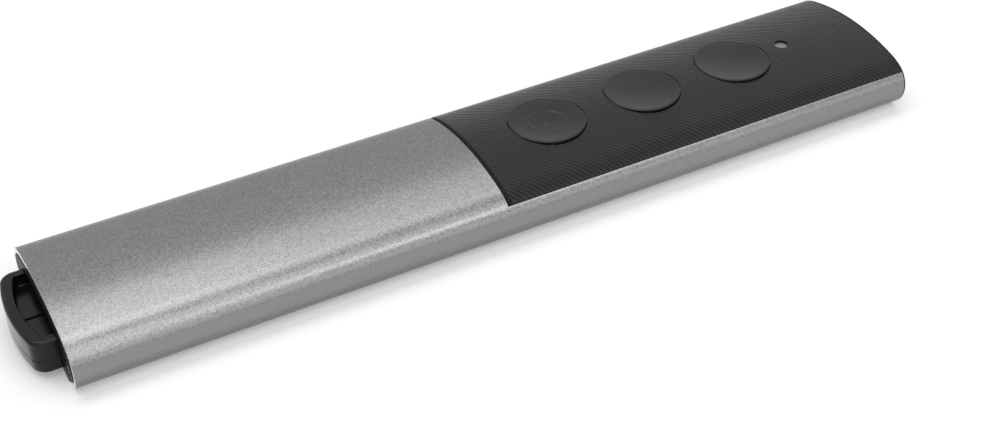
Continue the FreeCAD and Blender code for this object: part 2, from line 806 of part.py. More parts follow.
def head_outline(inset, nose_inset, front_x, radius, z0, z1):
    """The receiver head seen from above: straight sides and a gently bowed nose."""
    half = head_half - inset
    tip = nose_x + nose_inset
    corner = tip + head_nose_bow
    nose = Part.Arc(at(corner, half, z0), at(tip, 0, z0), at(corner, -half, z0)).toShape()
    edges = [
        nose,
        Part.LineSegment(at(corner, -half, z0), at(front_x, -half, z0)).toShape(),
        Part.LineSegment(at(front_x, -half, z0), at(front_x, half, z0)).toShape(),
        Part.LineSegment(at(front_x, half, z0), at(corner, half, z0)).toShape(),
    ]
    block = Part.Face(Part.Wire(edges)).extrude(at(0, 0, z1 - z0))
    middle = (z0 + z1) / 2
    corners = []
    for e in block.Edges:
        upright = e.BoundBox.ZMin < middle < e.BoundBox.ZMax
        if upright and e.BoundBox.XMax < corner + radius:
            corners.append(e)
    return block.makeFillet(radius, corners)


def head_block():
    """The outer form of the two shells together, with its nose and rims rounded."""
    block = head_outline(0, 0, head_front_x, head_corner_radius, head_bottom, head_top_z)
    rims = []
    for e in block.Edges:
        level = e.BoundBox.ZMax - e.BoundBox.ZMin < head_edge_round
        across = e.BoundBox.XMin > head_front_x - head_edge_round
        if level and not across:
            rims.append(e)
    return block.makeFillet(head_edge_round, rims)


def head_hollow():
    """The space for the receiver's board and the tail of its plug."""
    z0 = head_bottom + head_wall
    z1 = pocket_floor_z - head_wall
    front_x = head_front_x - plug_tail
    space = head_outline(head_wall, pocket_nose_wall, front_x, head_corner_radius / 2, z0, z1)
    half = plug_width / 2 + slide_in_gap
    tail_x0 = front_x - slide_in_gap
    tail_z0 = plug_z - slide_in_gap
    tail_z1 = plug_top_z + slide_in_gap
    radius = plug_corner_radius
    tail = rounded_bar(tail_x0, head_front_x + overrun, half, tail_z0, tail_z1, radius)
    return space.fuse(tail)


def head_pocket():
    """The finger recess in the top, with a low rib along its middle."""
    front_x = head_front_x - pocket_front_wall
    z1 = head_top_z + overrun
    radius = pocket_corner_radius
    pocket = head_outline(pocket_side_wall, pocket_nose_wall, front_x, radius, pocket_floor_z, z1)
    half = pocket_rib_width / 2
    rib_z = pocket_floor_z + pocket_rib_height
    return pocket.cut(box(nose_x, front_x, -half, half, pocket_floor_z, rib_z))


def head_seam():
    """A fine groove round the head where its two shells meet."""
    half = head_seam_gap / 2
    z0 = head_split_z - half
    z1 = head_split_z + half
    outer = box(nose_x - overrun, head_front_x - head_wall, -head_width, head_width, z0, z1)
    core = head_outline(head_seam_depth, head_seam_depth, head_front_x, head_corner_radius, z0, z1)
    return outer.cut(core)


def receiver_upper_shell():
    shell = head_block().cut(head_hollow()).cut(head_pocket()).cut(head_seam())
    keep = box(nose_x - overrun, head_front_x + overrun, -head_width, head_width, head_split_z, head_top_z)
    return shell.common(keep)


def receiver_lower_shell():
    shell = head_block().cut(head_hollow()).cut(head_seam())
    keep = box(nose_x - overrun, head_front_x + overrun, -head_width, head_width, head_bottom, head_split_z)
    shell = shell.common(keep)
    post_x = nose_x + pocket_nose_wall + head_wall
    z0 = head_bottom + head_wall / 2
    z1 = head_bottom + head_wall + receiver_board_post
    posts = []
    for y in (-plug_width / 4, plug_width / 4):
        posts.append(box(post_x, post_x + head_wall, y - head_wall, y + head_wall, z0, z1))
    return joined([shell] + posts)


def receiver_board():
    x0 = nose_x + pocket_nose_wall + head_nose_bow
    x1 = head_front_x - plug_tail - receiver_board_gap
    half = head_half - receiver_board_side_margin
    return box(x0, x1, -half, half, receiver_board_z, receiver_board_top_z)


def receiver_chip():
    x0 = nose_x + pocket_nose_wall + head_nose_bow + head_wall
    half = receiver_chip_side / 2
    top = receiver_board_top_z + receiver_chip_height
    return box(x0, x0 + receiver_chip_side, -half, half, receiver_board_top_z, top)


def usb_plug_shell():
    """A folded steel tube with a square window pair on each broad face."""
    x0 = head_front_x - plug_tail
    half = plug_width / 2
    shell = rounded_bar(x0, plug_front_x, half, plug_z, plug_top_z, plug_corner_radius)
    inner = half - plug_wall
    inner_radius = plug_corner_radius - plug_wall
    z0 = plug_z + plug_wall
    z1 = plug_top_z - plug_wall
    shell = shell.cut(rounded_bar(x0 - overrun, plug_front_x + overrun, inner, z0, z1, inner_radius))
    x1 = plug_front_x - plug_window_setback
    for middle in (-plug_window_spread / 2, plug_window_spread / 2):
        y0 = middle - plug_window_side / 2
        y1 = middle + plug_window_side / 2
        shell = shell.cut(box(x1 - plug_window_side, x1, y0, y1, plug_z - overrun, plug_top_z + overrun))
    return shell


def tongue_top():
    return plug_z + plug_wall + slide_in_gap + tongue_thickness


def usb_tongue():
    half = plug_width / 2 - plug_wall - slide_in_gap
    x0 = head_front_x - plug_tail
    z1 = tongue_top()
    radius = plug_corner_radius - plug_wall
    return rounded_bar(x0, plug_front_x - tongue_setback, half, z1 - tongue_thickness, z1, radius)


def usb_contacts():
    pins = []
    z0 = tongue_top()
    for i in range(pin_count):
        y = (i - (pin_count - 1) / 2) * pin_pitch
        x0 = head_front_x - plug_tail
        x1 = plug_front_x - tongue_setback - pin_setback
        pins.append(box(x0, x1, y - pin_width / 2, y + pin_width / 2, z0, z0 + pin_thickness))
    return Part.makeCompound(pins)


def detent_leaf():
    """A bent strip on the bay's roof that dips to the plug."""
    half = leaf_width / 2
    x0 = leaf_slot_x0() - leaf_anchor
    x1 = leaf_slot_x0() + leaf_length
    dip_x = (leaf_slot_x0() + x1) / 2
    dip_z = plug_top_z + leaf_gap
    roof_z = bay_roof_level()
    tip_z = (dip_z + roof_z) / 2
    lower = [(x0, roof_z), (leaf_slot_x0(), roof_z), (dip_x, dip_z), (x1, tip_z)]
    outline = [at(x, -half, z) for x, z in lower]
    outline += [at(x, -half, z + leaf_sheet) for x, z in reversed(lower)]
    face = Part.Face(Part.makePolygon(outline + [outline[0]]))
    return face.extrude(at(0, leaf_width, 0))


def battery_door():
    """A flat lid with two hooks in front, a latch tongue behind and ribs under the cell."""
    half = door_half_width
    plate = rounded_block(door_rear_x, door_front_x, -half, half, 0, sleeve_wall, door_corner_radius)
    pieces = [plate]
    rib_half = door_length * door_rib_share / 2
    rib_top = sleeve_wall + door_rib_height
    for y in (-door_rib_offset, door_rib_offset):
        y0 = y - door_rib_width / 2
        y1 = y + door_rib_width / 2
        pieces.append(box(cell_x - rib_half, cell_x + rib_half, y0, y1, sleeve_wall / 2, rib_top))
    hook_z = sleeve_wall + seat_gap
    for middle in (-door_hook_offset, door_hook_offset):
        y0 = middle - door_hook_width / 2
        y1 = middle + door_hook_width / 2
        root_x = door_front_x - door_hook_root
        hook_top = hook_z + door_hook_thickness
        pieces.append(box(root_x, door_front_x - door_gap, y0, y1, sleeve_wall / 2, hook_top))
        pieces.append(box(root_x, door_front_x + door_hook_reach, y0, y1, hook_z, hook_top))
    latch = door_latch_width / 2
    latch_x = door_rear_x + door_latch_thickness
    latch_top = sleeve_wall + door_latch_height
    pieces.append(box(door_rear_x, latch_x, -latch, latch, sleeve_wall / 2, latch_top))
    door = joined(pieces)
    notch = door_notch_width / 2
    notch_x0 = door_rear_x + door_latch_thickness
    notch_x1 = notch_x0 + door_notch_length
    return door.cut(box(notch_x0, notch_x1, -notch, notch, -overrun, door_notch_depth))


def buttons():
    """The three buttons with their plungers, each in a node of its own."""
    nodes = {}
    for name, x in zip(button_names, button_xs):
        make_cap = marked_cap if name == marked_button else button_cap
        nodes["button_" + name] = make_cap(x)
        nodes["plunger_" + name] = switch_plunger(x)
    return nodes


def build():
    nodes = {
        "body_sleeve": body_sleeve(),
        "button_panel": button_panel(),
        "switch_bodies": Part.makeCompound([switch_body(x) for x in button_xs]),
        "main_board": main_board(),
        "board_screws": board_screws(),
        "radio_chip": radio_chip(),
        "crystal": crystal(),
        "board_antenna": board_antenna(),
        "board_passives": board_passives(),
        "status_led": status_led(),
        "light_guide": light_guide(),
        "coin_cell": coin_cell(),
        "battery_contact_top": battery_contact_top(),
        "battery_contact_side": battery_contact_side(),
        "battery_door": battery_door(),
        "laser_barrel": laser_barrel(),
        "laser_lens": laser_lens(),
        "laser_diode": laser_diode(),
        "laser_leads": laser_leads(),
        "laser_window": laser_window(),
        "front_cap": front_cap(),
        "chassis": chassis(),
        "rear_cap": rear_cap(),
        "rear_cap_screws": rear_cap_screws(),
        "detent_leaf": detent_leaf(),
        "receiver_upper_shell": receiver_upper_shell(),
        "receiver_lower_shell": receiver_lower_shell(),
        "receiver_board": receiver_board(),
        "receiver_chip": receiver_chip(),
        "usb_plug_shell": usb_plug_shell(),
        "usb_tongue": usb_tongue(),
        "usb_contacts": usb_contacts(),
    }
    nodes.update(buttons())
    return nodes


def main():
    os.makedirs("parts", exist_ok=True)
    for node, shape in build().items():
        if not shape.isValid():
            raise ValueError(node + " is not a valid shape")
        shape.exportStep("parts/" + node + ".step")
        print(node, len(shape.Solids), round(shape.Volume, 2))


main()
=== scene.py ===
import json
from math import atan, atan2, cos, pi, radians, sin, sqrt, tan

import bmesh
import bpy
from mathutils import Matrix, Vector


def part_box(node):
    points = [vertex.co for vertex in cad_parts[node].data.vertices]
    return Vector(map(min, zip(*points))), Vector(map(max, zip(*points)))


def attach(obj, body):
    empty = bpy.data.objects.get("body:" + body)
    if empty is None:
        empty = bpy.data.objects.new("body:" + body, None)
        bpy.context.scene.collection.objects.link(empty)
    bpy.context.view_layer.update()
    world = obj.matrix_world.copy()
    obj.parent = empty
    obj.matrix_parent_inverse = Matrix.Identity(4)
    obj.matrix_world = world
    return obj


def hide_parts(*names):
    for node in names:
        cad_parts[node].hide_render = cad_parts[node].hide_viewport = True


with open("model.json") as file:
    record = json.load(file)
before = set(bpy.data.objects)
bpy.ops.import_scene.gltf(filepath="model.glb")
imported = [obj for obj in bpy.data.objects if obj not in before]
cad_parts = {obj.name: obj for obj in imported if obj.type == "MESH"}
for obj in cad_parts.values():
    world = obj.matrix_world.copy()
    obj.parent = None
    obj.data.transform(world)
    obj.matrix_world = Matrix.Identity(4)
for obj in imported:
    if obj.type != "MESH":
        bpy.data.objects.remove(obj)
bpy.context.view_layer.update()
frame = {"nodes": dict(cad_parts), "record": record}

# Wireless presentation clicker, in metres.
# X runs along the body towards the laser end, Y across it, Z up, as in the frame.
nodes = frame["nodes"]
mm = 0.001

# Shared by all pieces
seat_gap = 0.05 * mm
cut_over = 1 * mm
weld = 0.0005 * mm
copy_weld = 0.001 * mm
ease_steps = 2
rim_steps = 5
edge_steps = 8

# Sleeve and its section of tangent arcs
sleeve_low, sleeve_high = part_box("body_sleeve")
rear_x = sleeve_low.x
front_x = sleeve_high.x
half_width = sleeve_high.y
sleeve_height = sleeve_high.z
sleeve_wall = 0.8 * mm
rim_round = 0.12 * mm
rim_shares = ((0, 1), (1 / 8, 7 / 12), (3 / 8, 7 / 24), (1, 0))
side_radius = sleeve_height * 0.413
crown_slope_share = 0.407
shoulder_slope_share = 0.798
crown_steps = 16
shoulder_steps = 8
side_steps = 44

# Button panel
panel_low, panel_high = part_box("button_panel")
panel_half_width = panel_high.y
panel_side_gap = 0.1 * mm
panel_rear_gap = 0.7 * mm
panel_thickness = 1.2 * mm
panel_edge_round = 0.18 * mm
panel_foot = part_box("main_board")[0].z + seat_gap
rib_pitch = 0.645 * mm
rib_depth = 0.045 * mm
rib_samples = 6
skin_rows = 72
skin_margin = 4 * mm
skin_proud = 0.02 * mm
skin_sizes = {
    "Length": panel_high.x - panel_low.x + 2 * panel_half_width + skin_margin,
    "Width": 2 * panel_half_width + cut_over,
    "Middle": (panel_low.x + panel_high.x) / 2,
    "Rib pitch": rib_pitch * sqrt(2),
    "Rib depth": rib_depth,
    "Base": panel_foot - cut_over,
}

# Status light's guide
guide_low, guide_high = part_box("light_guide")
guide_radius = 1.2 * mm
guide_hole_radius = 1.24 * mm
guide_collar_height = 0.7 * mm
guide_dome = 0.08 * mm
guide_dome_steps = 12

# Buttons
button_names = ("rear", "middle", "front")
button_hole_radius = 6.57 * mm
button_cap_radius = 6.42 * mm
button_lip_radius = 7.32 * mm
button_lip_thickness = 0.6 * mm
button_rim_land = 0.3 * mm
button_rim_round = 0.15 * mm
button_dish_depth = 0.55 * mm
button_skin = 0.75 * mm
button_wall = 1.0 * mm
button_stem_radius = 1.3 * mm
mark_radius = 3.4 * mm
mark_width = 0.45 * mm
mark_height = 0.08 * mm
mark_dot_radius = 0.6 * mm
mark_dot_depth = 0.1 * mm
mark_steps = 6
dish_steps = 24
turn_steps = 128
small_turn_steps = 64

# Battery door
door_low, door_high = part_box("battery_door")
door_gap = 0.15 * mm
door_corner_radius = 1.2 * mm
door_hook_reach = 1.1 * mm

# Receiver head
head_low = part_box("receiver_lower_shell")[0]
head_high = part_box("receiver_upper_shell")[1]
head_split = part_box("receiver_upper_shell")[0].z
head_bow = 1.35 * mm
head_corner_radius = 2.3 * mm
head_edge_round = 0.55 * mm
head_wall = 0.9 * mm
head_steps = 12
seam_depth = 0.25 * mm
seam_half = 0.03 * mm
seam_soft = 0.05 * mm
pocket_chip_gap = 0.24 * mm
pocket_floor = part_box("receiver_chip")[1].z + pocket_chip_gap + head_wall
pocket_nose_wall = 1.7 * mm
pocket_side_wall = 1.45 * mm
pocket_front_wall = 1.6 * mm
pocket_corner_radius = 0.5 * mm
pocket_foot_round = 0.25 * mm
pocket_lip_round = 0.15 * mm
pocket_rib_half = 0.45 * mm
pocket_rib_height = 0.25 * mm

# Rear cap's foot, in the sleeve's base
foot_half = 10.72 * mm
foot_back_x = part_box("rear_cap")[1].x

# Front cap
flange_round = 0.12 * mm
window_seat_radius = 2.35 * mm
window_seat_depth = 0.95 * mm
bore_radius = 1.5 * mm
laser_low, laser_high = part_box("laser_window")
laser_level = (laser_low.z + laser_high.z) / 2
along_x = Matrix(((0, 0, 1), (0, 1, 0), (-1, 0, 0)))

# Coin cell: its can's edges, the sunk base and the lid held by a seal
cell_edge_round = 0.4 * mm
cell_crimp_round = 0.75 * mm
cell_crimp_drop = 0.05 * mm
cell_sink = 0.06 * mm
cell_sink_share = 0.78
cell_foot_share = 0.8
cell_seal_width = 0.15 * mm
cell_seal_lip = 0.04 * mm
cell_seal_depth = 0.28 * mm
cell_lid_round = 0.2 * mm

# Laser lens
lens_edge = 0.08 * mm
lens_bulge = 0.35 * mm
lens_shares = (0.9, 0.75, 0.6, 0.45, 0.3, 0.15)

# Screws, switches, contacts and small chips
screw_slot_width = 0.35 * mm
screw_slot_depth = 0.3 * mm
screw_pitch = 0.45 * mm
screw_groove = 0.07 * mm
screw_edge = 0.06 * mm
screw_tip_share = 0.6
screw_dome_share = 0.45
screw_dome_steps = 6
screw_turn_steps = 48
board_shank_radius = 0.6 * mm
rear_shank_radius = 0.7 * mm
rear_cross_length = 1.5 * mm
rear_head_height = 0.55 * mm
switch_well_radius = 1.31 * mm
switch_well_floor = 0.15 * mm
switch_corner_radius = 0.4 * mm
switch_round = 0.08 * mm
contact_corner_radius = 0.35 * mm
contact_round = 0.04 * mm
chip_end_length = 0.22 * mm
chip_plating = 0.06 * mm

# Frame nodes whose sharp edges are only eased: node, piece's name, width
eased_nodes = (
    ("battery_door", "battery_lid", 0.12 * mm),
    ("rear_cap", "rear_plate", 0.12 * mm),
    ("usb_plug_shell", "plug_can", 0.06 * mm),
    ("usb_tongue", "plug_tongue", 0.1 * mm),
    ("receiver_chip", "receiver_chip_case", 0.07 * mm),
    ("receiver_board", "receiver_card", 0.04 * mm),
    ("radio_chip", "radio_chip_case", 0.08 * mm),
    ("crystal", "crystal_can", 0.2 * mm),
    ("board_antenna", "antenna_block", 0.1 * mm),
    ("status_led", "status_light", 0.1 * mm),
    ("battery_contact_top", "cell_leaf", 0.03 * mm),
    ("battery_contact_side", "cell_tab", 0.03 * mm),
    ("detent_leaf", "grip_leaf", 0.04 * mm),
    ("laser_barrel", "laser_tube", 0.1 * mm),
    ("laser_diode", "laser_can", 0.08 * mm),
    ("laser_window", "window_disc", 0.06 * mm),
    ("plunger_rear", "rear_plunger", 0.1 * mm),
    ("plunger_middle", "middle_plunger", 0.1 * mm),
    ("plunger_front", "front_plunger", 0.1 * mm),
)

# Finishes: where the blasted grain calms down the sides, grain and line depths, mould grain
grain_calm_z = 5.0 * mm
grain_lively_z = 6.6 * mm
blast_soft_depth = 0.016 * mm
blast_sharp_depth = 0.008 * mm
saw_line_depth = 0.003 * mm
drawn_line_depth = 0.004 * mm
track_depth = 0.02 * mm
fine_grain_depth = 0.003 * mm
mould_grain_size = 0.25 * mm
mould_grain_depth = 0.006 * mm

# Floor: half its side, and how far its top lies below the base so that they don't coincide
floor_size = 3.0
floor_drop = 0.02 * mm

# Softboxes: lean towards the near side and breadth in degrees, ends along X, strength
lamp_distance = 0.9
softboxes = (
    ("far_rear", -24.5, 20, -0.6, 0.18, 1.7),
    ("far_front", -24.5, 20, 0.18, 1.0, 0.9),
    ("key_rear", -7.5, 15, -0.6, 0.18, 2.9),
    ("key_front", -11, 8, 0.18, 1.0, 1.8),
    ("near_rear", 24, 28, -0.6, 0.22, 1.45),
    ("near_front", 24, 28, 0.22, 1.0, 0.75),
    ("low_rear", 49, 24, -0.6, 0.18, 1.4),
    ("low_front", 43, 12, 0.18, 0.6, 3.3),
    ("side", 72, 18, -0.6, 1.0, 0.7),
)

# Camera, from the photograph's vanishing lines and the sleeve's real size
camera_place = Vector((-94.63, -182.67, 153.06)) * mm
camera_right = Vector((0.875585, -0.482930, -0.011385))
camera_down = Vector((-0.300565, -0.526192, -0.795477))
camera_lens = 56.70
camera_sensor = 36.0


def arc(x, y, radius, start, end, steps):
    """Points round a centre from one angle to another."""
    angles = [start + (end - start) * i / steps for i in range(steps + 1)]
    return [(x + radius * cos(angle), y + radius * sin(angle)) for angle in angles]


def section_arcs():
    """Centre, radius and end angles of the crown, shoulder and side arcs, each tangent to the next."""
    crown = atan(crown_slope_share * sleeve_height / half_width)
    shoulder = atan(shoulder_slope_share * sleeve_height / half_width)
    drop = sleeve_height - side_radius * (1 + cos(shoulder))
    run = half_width - side_radius * (1 - sin(shoulder))
    crown_fall = 1 - cos(crown)
    crown_reach = sin(crown)
    shoulder_fall = cos(crown) - cos(shoulder)
    shoulder_reach = sin(shoulder) - crown_reach
    scale = crown_fall * shoulder_reach - shoulder_fall * crown_reach
    crown_radius = (drop * shoulder_reach - shoulder_fall * run) / scale
    shoulder_radius = (crown_fall * run - crown_reach * drop) / scale
    step = crown_radius - shoulder_radius
    crown_z = sleeve_height - crown_radius
    return [
        (0, crown_z, crown_radius, 0, crown, crown_steps),
        (step * crown_reach, crown_z + step * cos(crown), shoulder_radius, crown, shoulder,
         shoulder_steps),
        (half_width - side_radius, side_radius, side_radius, shoulder, pi, side_steps),
    ]


arcs = section_arcs()


def section_half(inset):
    """Points of the section's +Y half, drawn in by an inset, from the crown's middle to the base."""
    points = [(0, sleeve_height - inset)]
    for y, z, radius, *sweep in arcs:
        points += [(across, up) for up, across in arc(z, y, radius - inset, *sweep)[1:]]
    return points


def section_ring(x, inset):
    half = section_half(inset)
    mirrored = [(-y, z) for y, z in reversed(half[1:])]
    return [Vector((x, y, z)) for y, z in half + mirrored]


def crown_level(y, inset):
    """Height of the section's upper surface at a distance y from the middle."""
    for centre, z, radius, _, end, _ in arcs:
        reach = centre + (radius - inset) * sin(end)
        if abs(y) <= reach or end == pi:
            return z + sqrt(max((radius - inset) ** 2 - (abs(y) - centre) ** 2, 0))


def rounded_edge(level, width, side, steps=edge_steps):
    """Level and inset from a flank round to a face; side is 1 for a lower face and -1 for an upper one."""
    edge = []
    for i in range(steps + 1):
        angle = pi / 2 * i / steps
        edge.append((level + side * width * (1 - sin(angle)), width * (1 - cos(angle))))
    return edge


def middle_of(node):
    """The middle of a frame node along X, on the body's middle plane."""
    low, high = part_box(node)
    return Vector(((low.x + high.x) / 2, 0, 0))


# Meshes and modifiers

def piece_from(name, data):
    piece = bpy.data.objects.new(name, data)
    bpy.context.scene.collection.objects.link(piece)
    return piece


def shape_of(mesh):
    shape = bmesh.new()
    shape.from_mesh(mesh)
    return shape


def mesh_piece(name, shape):
    mesh = bpy.data.meshes.new(name)
    shape.to_mesh(mesh)
    shape.free()
    return piece_from(name, mesh)


def lofted(name, rings, looped=False):
    """A closed surface through rings of equal count; the end rings are filled unless they loop."""
    shape = bmesh.new()
    rows = [[shape.verts.new(point) for point in ring] for ring in rings]
    pairs = list(zip(rows, rows[1:] + rows[:1])) if looped else list(zip(rows, rows[1:]))
    for low, high in pairs:
        for i in range(len(low)):
            j = (i + 1) % len(low)
            shape.faces.new((low[i], low[j], high[j], high[i]))
    if not looped:
        shape.faces.new(list(reversed(rows[0])))
        shape.faces.new(rows[-1])
    return closed_piece(name, shape)


def closed_piece(name, shape):
    bmesh.ops.remove_doubles(shape, verts=shape.verts, dist=weld)
    bmesh.ops.recalc_face_normals(shape, faces=shape.faces)
    return mesh_piece(name, shape)


def turned(name, outline, centre, turn=Matrix.Identity(3), steps=turn_steps):
    """A solid of revolution: outline is (radius, height) from the axis round to the axis."""
    shape = bmesh.new()
    rows = []
    for radius, height in outline:
        if radius == 0:
            rows.append([shape.verts.new(centre + turn @ Vector((0, 0, height)))])
            continue
        circle = arc(0, 0, radius, 0, 2 * pi, steps)[:-1]
        rows.append([shape.verts.new(centre + turn @ Vector((x, y, height))) for x, y in circle])
    for low, high in zip(rows, rows[1:]):
        for i in range(steps):
            j = (i + 1) % steps
            corners = (low[i % len(low)], low[j % len(low)], high[j % len(high)], high[i % len(high)])
            shape.faces.new(tuple(dict.fromkeys(corners)))
    return closed_piece(name, shape)


def block(name, low, high, corner=0, steps=8):
    """A box whose four upright edges may be rounded."""
    low, high = Vector(low), Vector(high)
    outline = []
    corners = ((high.x, high.y, 0), (low.x, high.y, 1), (low.x, low.y, 2), (high.x, low.y, 3))
    for x, y, quarter in corners:
        if not corner:
            outline.append((x, y))
            continue
        centre_x = x - corner if x == high.x else x + corner
        centre_y = y - corner if y == high.y else y + corner
        start = pi / 2 * quarter
        outline += arc(centre_x, centre_y, corner, start, start + pi / 2, steps)
    return lofted(name, [[Vector((x, y, z)) for x, y in outline] for z in (low.z, high.z)])


def baked(piece):
    """Turns a piece's modifiers into its mesh."""
    bpy.context.view_layer.update()
    evaluated = piece.evaluated_get(bpy.context.evaluated_depsgraph_get())
    mesh = bpy.data.meshes.new_from_object(evaluated)
    piece.modifiers.clear()
    piece.data = mesh
    return piece


def with_solid(piece, tool, operation):
    change = piece.modifiers.new(operation.lower(), "BOOLEAN")
    change.operation = operation
    change.solver = "EXACT"
    change.object = tool
    baked(piece)
    bpy.data.objects.remove(tool)
    return piece


def cut(piece, *tools):
    for tool in tools:
        with_solid(piece, tool, "DIFFERENCE")
    return piece


def bevelled(piece, width, angle=35):
    ease = piece.modifiers.new("ease", "BEVEL")
    ease.width = width
    ease.segments = ease_steps
    ease.limit_method = "ANGLE"
    ease.angle_limit = radians(angle)
    return baked(piece)


def slot_of(node):
    return next(part["material_slot"] for part in frame["record"]["subparts"] if part["node"] == node)


def body_of(node):
    bodies = frame["record"]["behaviour"]["bodies"]
    return next(body for body, inside in bodies.items() if node in inside)


def paint(piece, node):
    piece.data.materials.clear()
    piece.data.materials.append(materials[slot_of(node)])


def dressed(piece, node, crease=30, painted=False):
    """Gives a finished mesh the finish, body and slot of the frame node that it stands for."""
    if not painted:
        paint(piece, node)
    for face in piece.data.polygons:
        face.use_smooth = True
    piece.data.set_sharp_from_angle(angle=radians(crease))
    level = piece.modifiers.new("level", "WEIGHTED_NORMAL")
    level.keep_sharp = True
    baked(piece)
    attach(piece, body_of(node))
    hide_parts(node)
    return piece


# Node trees

def add_node(tree, kind, inputs=None, **settings):
    made = tree.nodes.new(kind)
    for name, value in settings.items():
        setattr(made, name, value)
    for key, value in (inputs or {}).items():
        if isinstance(value, bpy.types.Node):
            value = value.outputs[0]
        if isinstance(value, bpy.types.NodeSocket):
            tree.links.new(value, made.inputs[key])
        else:
            made.inputs[key].default_value = value
    return made


def maths(tree, operation, first, second=0.0):
    return add_node(tree, "ShaderNodeMath", {0: first, 1: second}, operation=operation).outputs[0]


def plus(tree, first, second):
    return maths(tree, "ADD", first, second)


def minus(tree, first, second):
    return maths(tree, "SUBTRACT", first, second)


def times(tree, first, second):
    return maths(tree, "MULTIPLY", first, second)


def new_material(name):
    """An empty material, its node tree and the place of each point on the object."""
    material = bpy.data.materials.new(name)
    material.use_nodes = True
    tree = material.node_tree
    tree.nodes.clear()
    return material, tree, add_node(tree, "ShaderNodeTexCoord").outputs["Object"]


def finish_material(material, colour, rough, others):
    tree = material.node_tree
    inputs = {"Base Color": colour, "Roughness": rough, **others}
    shader = add_node(tree, "ShaderNodeBsdfPrincipled", inputs)
    add_node(tree, "ShaderNodeOutputMaterial", {"Surface": shader})
    return material


def grey(level):
    return level, level, level


def noise(tree, place, scale, detail=2.0, roughness=0.5):
    inputs = {"Vector": place, "Scale": scale, "Detail": detail, "Roughness": roughness}
    return add_node(tree, "ShaderNodeTexNoise", inputs).outputs["Fac"]


def spread(tree, value, low, high, to_low=0.0, to_high=1.0):
    inputs = {"Value": value, "From Min": low, "From Max": high, "To Min": to_low, "To Max": to_high}
    return add_node(tree, "ShaderNodeMapRange", inputs).outputs["Result"]


def shade(tree, value, dark, light):
    mix = add_node(tree, "ShaderNodeMix", {"Factor": value}, data_type="RGBA")
    mix.inputs[6].default_value = (*dark, 1)
    mix.inputs[7].default_value = (*light, 1)
    return mix.outputs[2]


def split(tree, place):
    return add_node(tree, "ShaderNodeSeparateXYZ", {0: place}).outputs


def combine(tree, x=0.0, y=0.0, z=0.0):
    return add_node(tree, "ShaderNodeCombineXYZ", {0: x, 1: y, 2: z})


def bump(tree, height, depth, strength=1.0, below=None):
    inputs = {"Height": height, "Distance": depth, "Strength": strength}
    if below is not None:
        inputs["Normal"] = below
    return add_node(tree, "ShaderNodeBump", inputs).outputs["Normal"]


def blasted_aluminium():
    """Anodised metal with the fine bright grain that bead blasting leaves, calmer down the sides."""
    material, tree, place = new_material("sleeve_aluminium")
    height = split(tree, place)[2]
    lively = spread(tree, height, grain_calm_z, grain_lively_z, 0.22, 1.0)
    cells = add_node(tree, "ShaderNodeTexVoronoi", {"Vector": place, "Scale": 5200.0})
    grain = add_node(tree, "ShaderNodeSeparateColor", {"Color": cells.outputs["Color"]}).outputs[0]
    soft = noise(tree, place, 3600.0, 3.0, 0.6)
    mixed = plus(tree, times(tree, grain, 0.4), times(tree, soft, 0.6))
    away = times(tree, minus(tree, mixed, 0.5), lively)
    tone = spread(tree, away, -0.25, 0.25)
    colour = shade(tree, tone, (0.160, 0.160, 0.163), (0.266, 0.266, 0.269))
    rough = spread(tree, grain, 0.0, 1.0, 0.25, 0.30)
    strength = times(tree, lively, 0.22)
    sharp = bump(tree, grain, blast_sharp_depth, strength)
    normal = bump(tree, soft, blast_soft_depth, strength, sharp)
    return finish_material(material, colour, rough, {"Metallic": 1.0, "Specular Tint": (0.7, 0.7, 0.7, 1),
                                                     "Normal": normal})


def moulded(name, dark, light, roughness, grain_size=mould_grain_size, grain_depth=mould_grain_depth,
            specular=0.5):
    """Moulded plastic: slight clouds in tone and gloss, and a fine eroded grain."""
    material, tree, place = new_material(name)
    cloud = noise(tree, place, 180.0, 4.0, 0.55)
    grain = noise(tree, place, 1 / grain_size, 3.0, 0.6)
    colour = shade(tree, spread(tree, cloud, 0.3, 0.7), dark, light)
    rough = spread(tree, plus(tree, cloud, grain), 0.6, 1.4, roughness - 0.05, roughness + 0.06)
    normal = bump(tree, grain, grain_depth)
    return finish_material(material, colour, rough, {"Specular IOR Level": specular, "Normal": normal})


def ribbed_black():
    """Black moulding with painted shade: the grooves between the ribs are painted darker than the crests."""
    material, tree, place = new_material("panel_black")
    x, y = split(tree, place)[:2]
    along = minus(tree, plus(tree, x, y), (panel_low.x + panel_high.x) / 2)
    turns = times(tree, along, 2 * pi / (rib_pitch * sqrt(2)))
    # Painted shade: the colour darkens into each rib groove, where shade falls, and is lightest on the
    # crests.
    painted_rib_shade = times(tree, plus(tree, maths(tree, "COSINE", turns), 1.0), 0.5)
    cloud = noise(tree, place, 180.0, 4.0, 0.55)
    grain = noise(tree, place, 4000.0, 3.0, 0.6)
    tone = times(tree, painted_rib_shade, spread(tree, cloud, 0.3, 0.7, 0.75, 1.0))
    colour = shade(tree, tone, grey(0.004), (0.023, 0.023, 0.0235))
    rough = spread(tree, plus(tree, cloud, grain), 0.6, 1.4, 0.26, 0.36)
    normal = bump(tree, grain, fine_grain_depth)
    return finish_material(material, colour, rough, {"Specular IOR Level": 0.13, "Sheen Weight": 0.26,
                                                     "Sheen Roughness": 0.4, "Normal": normal})


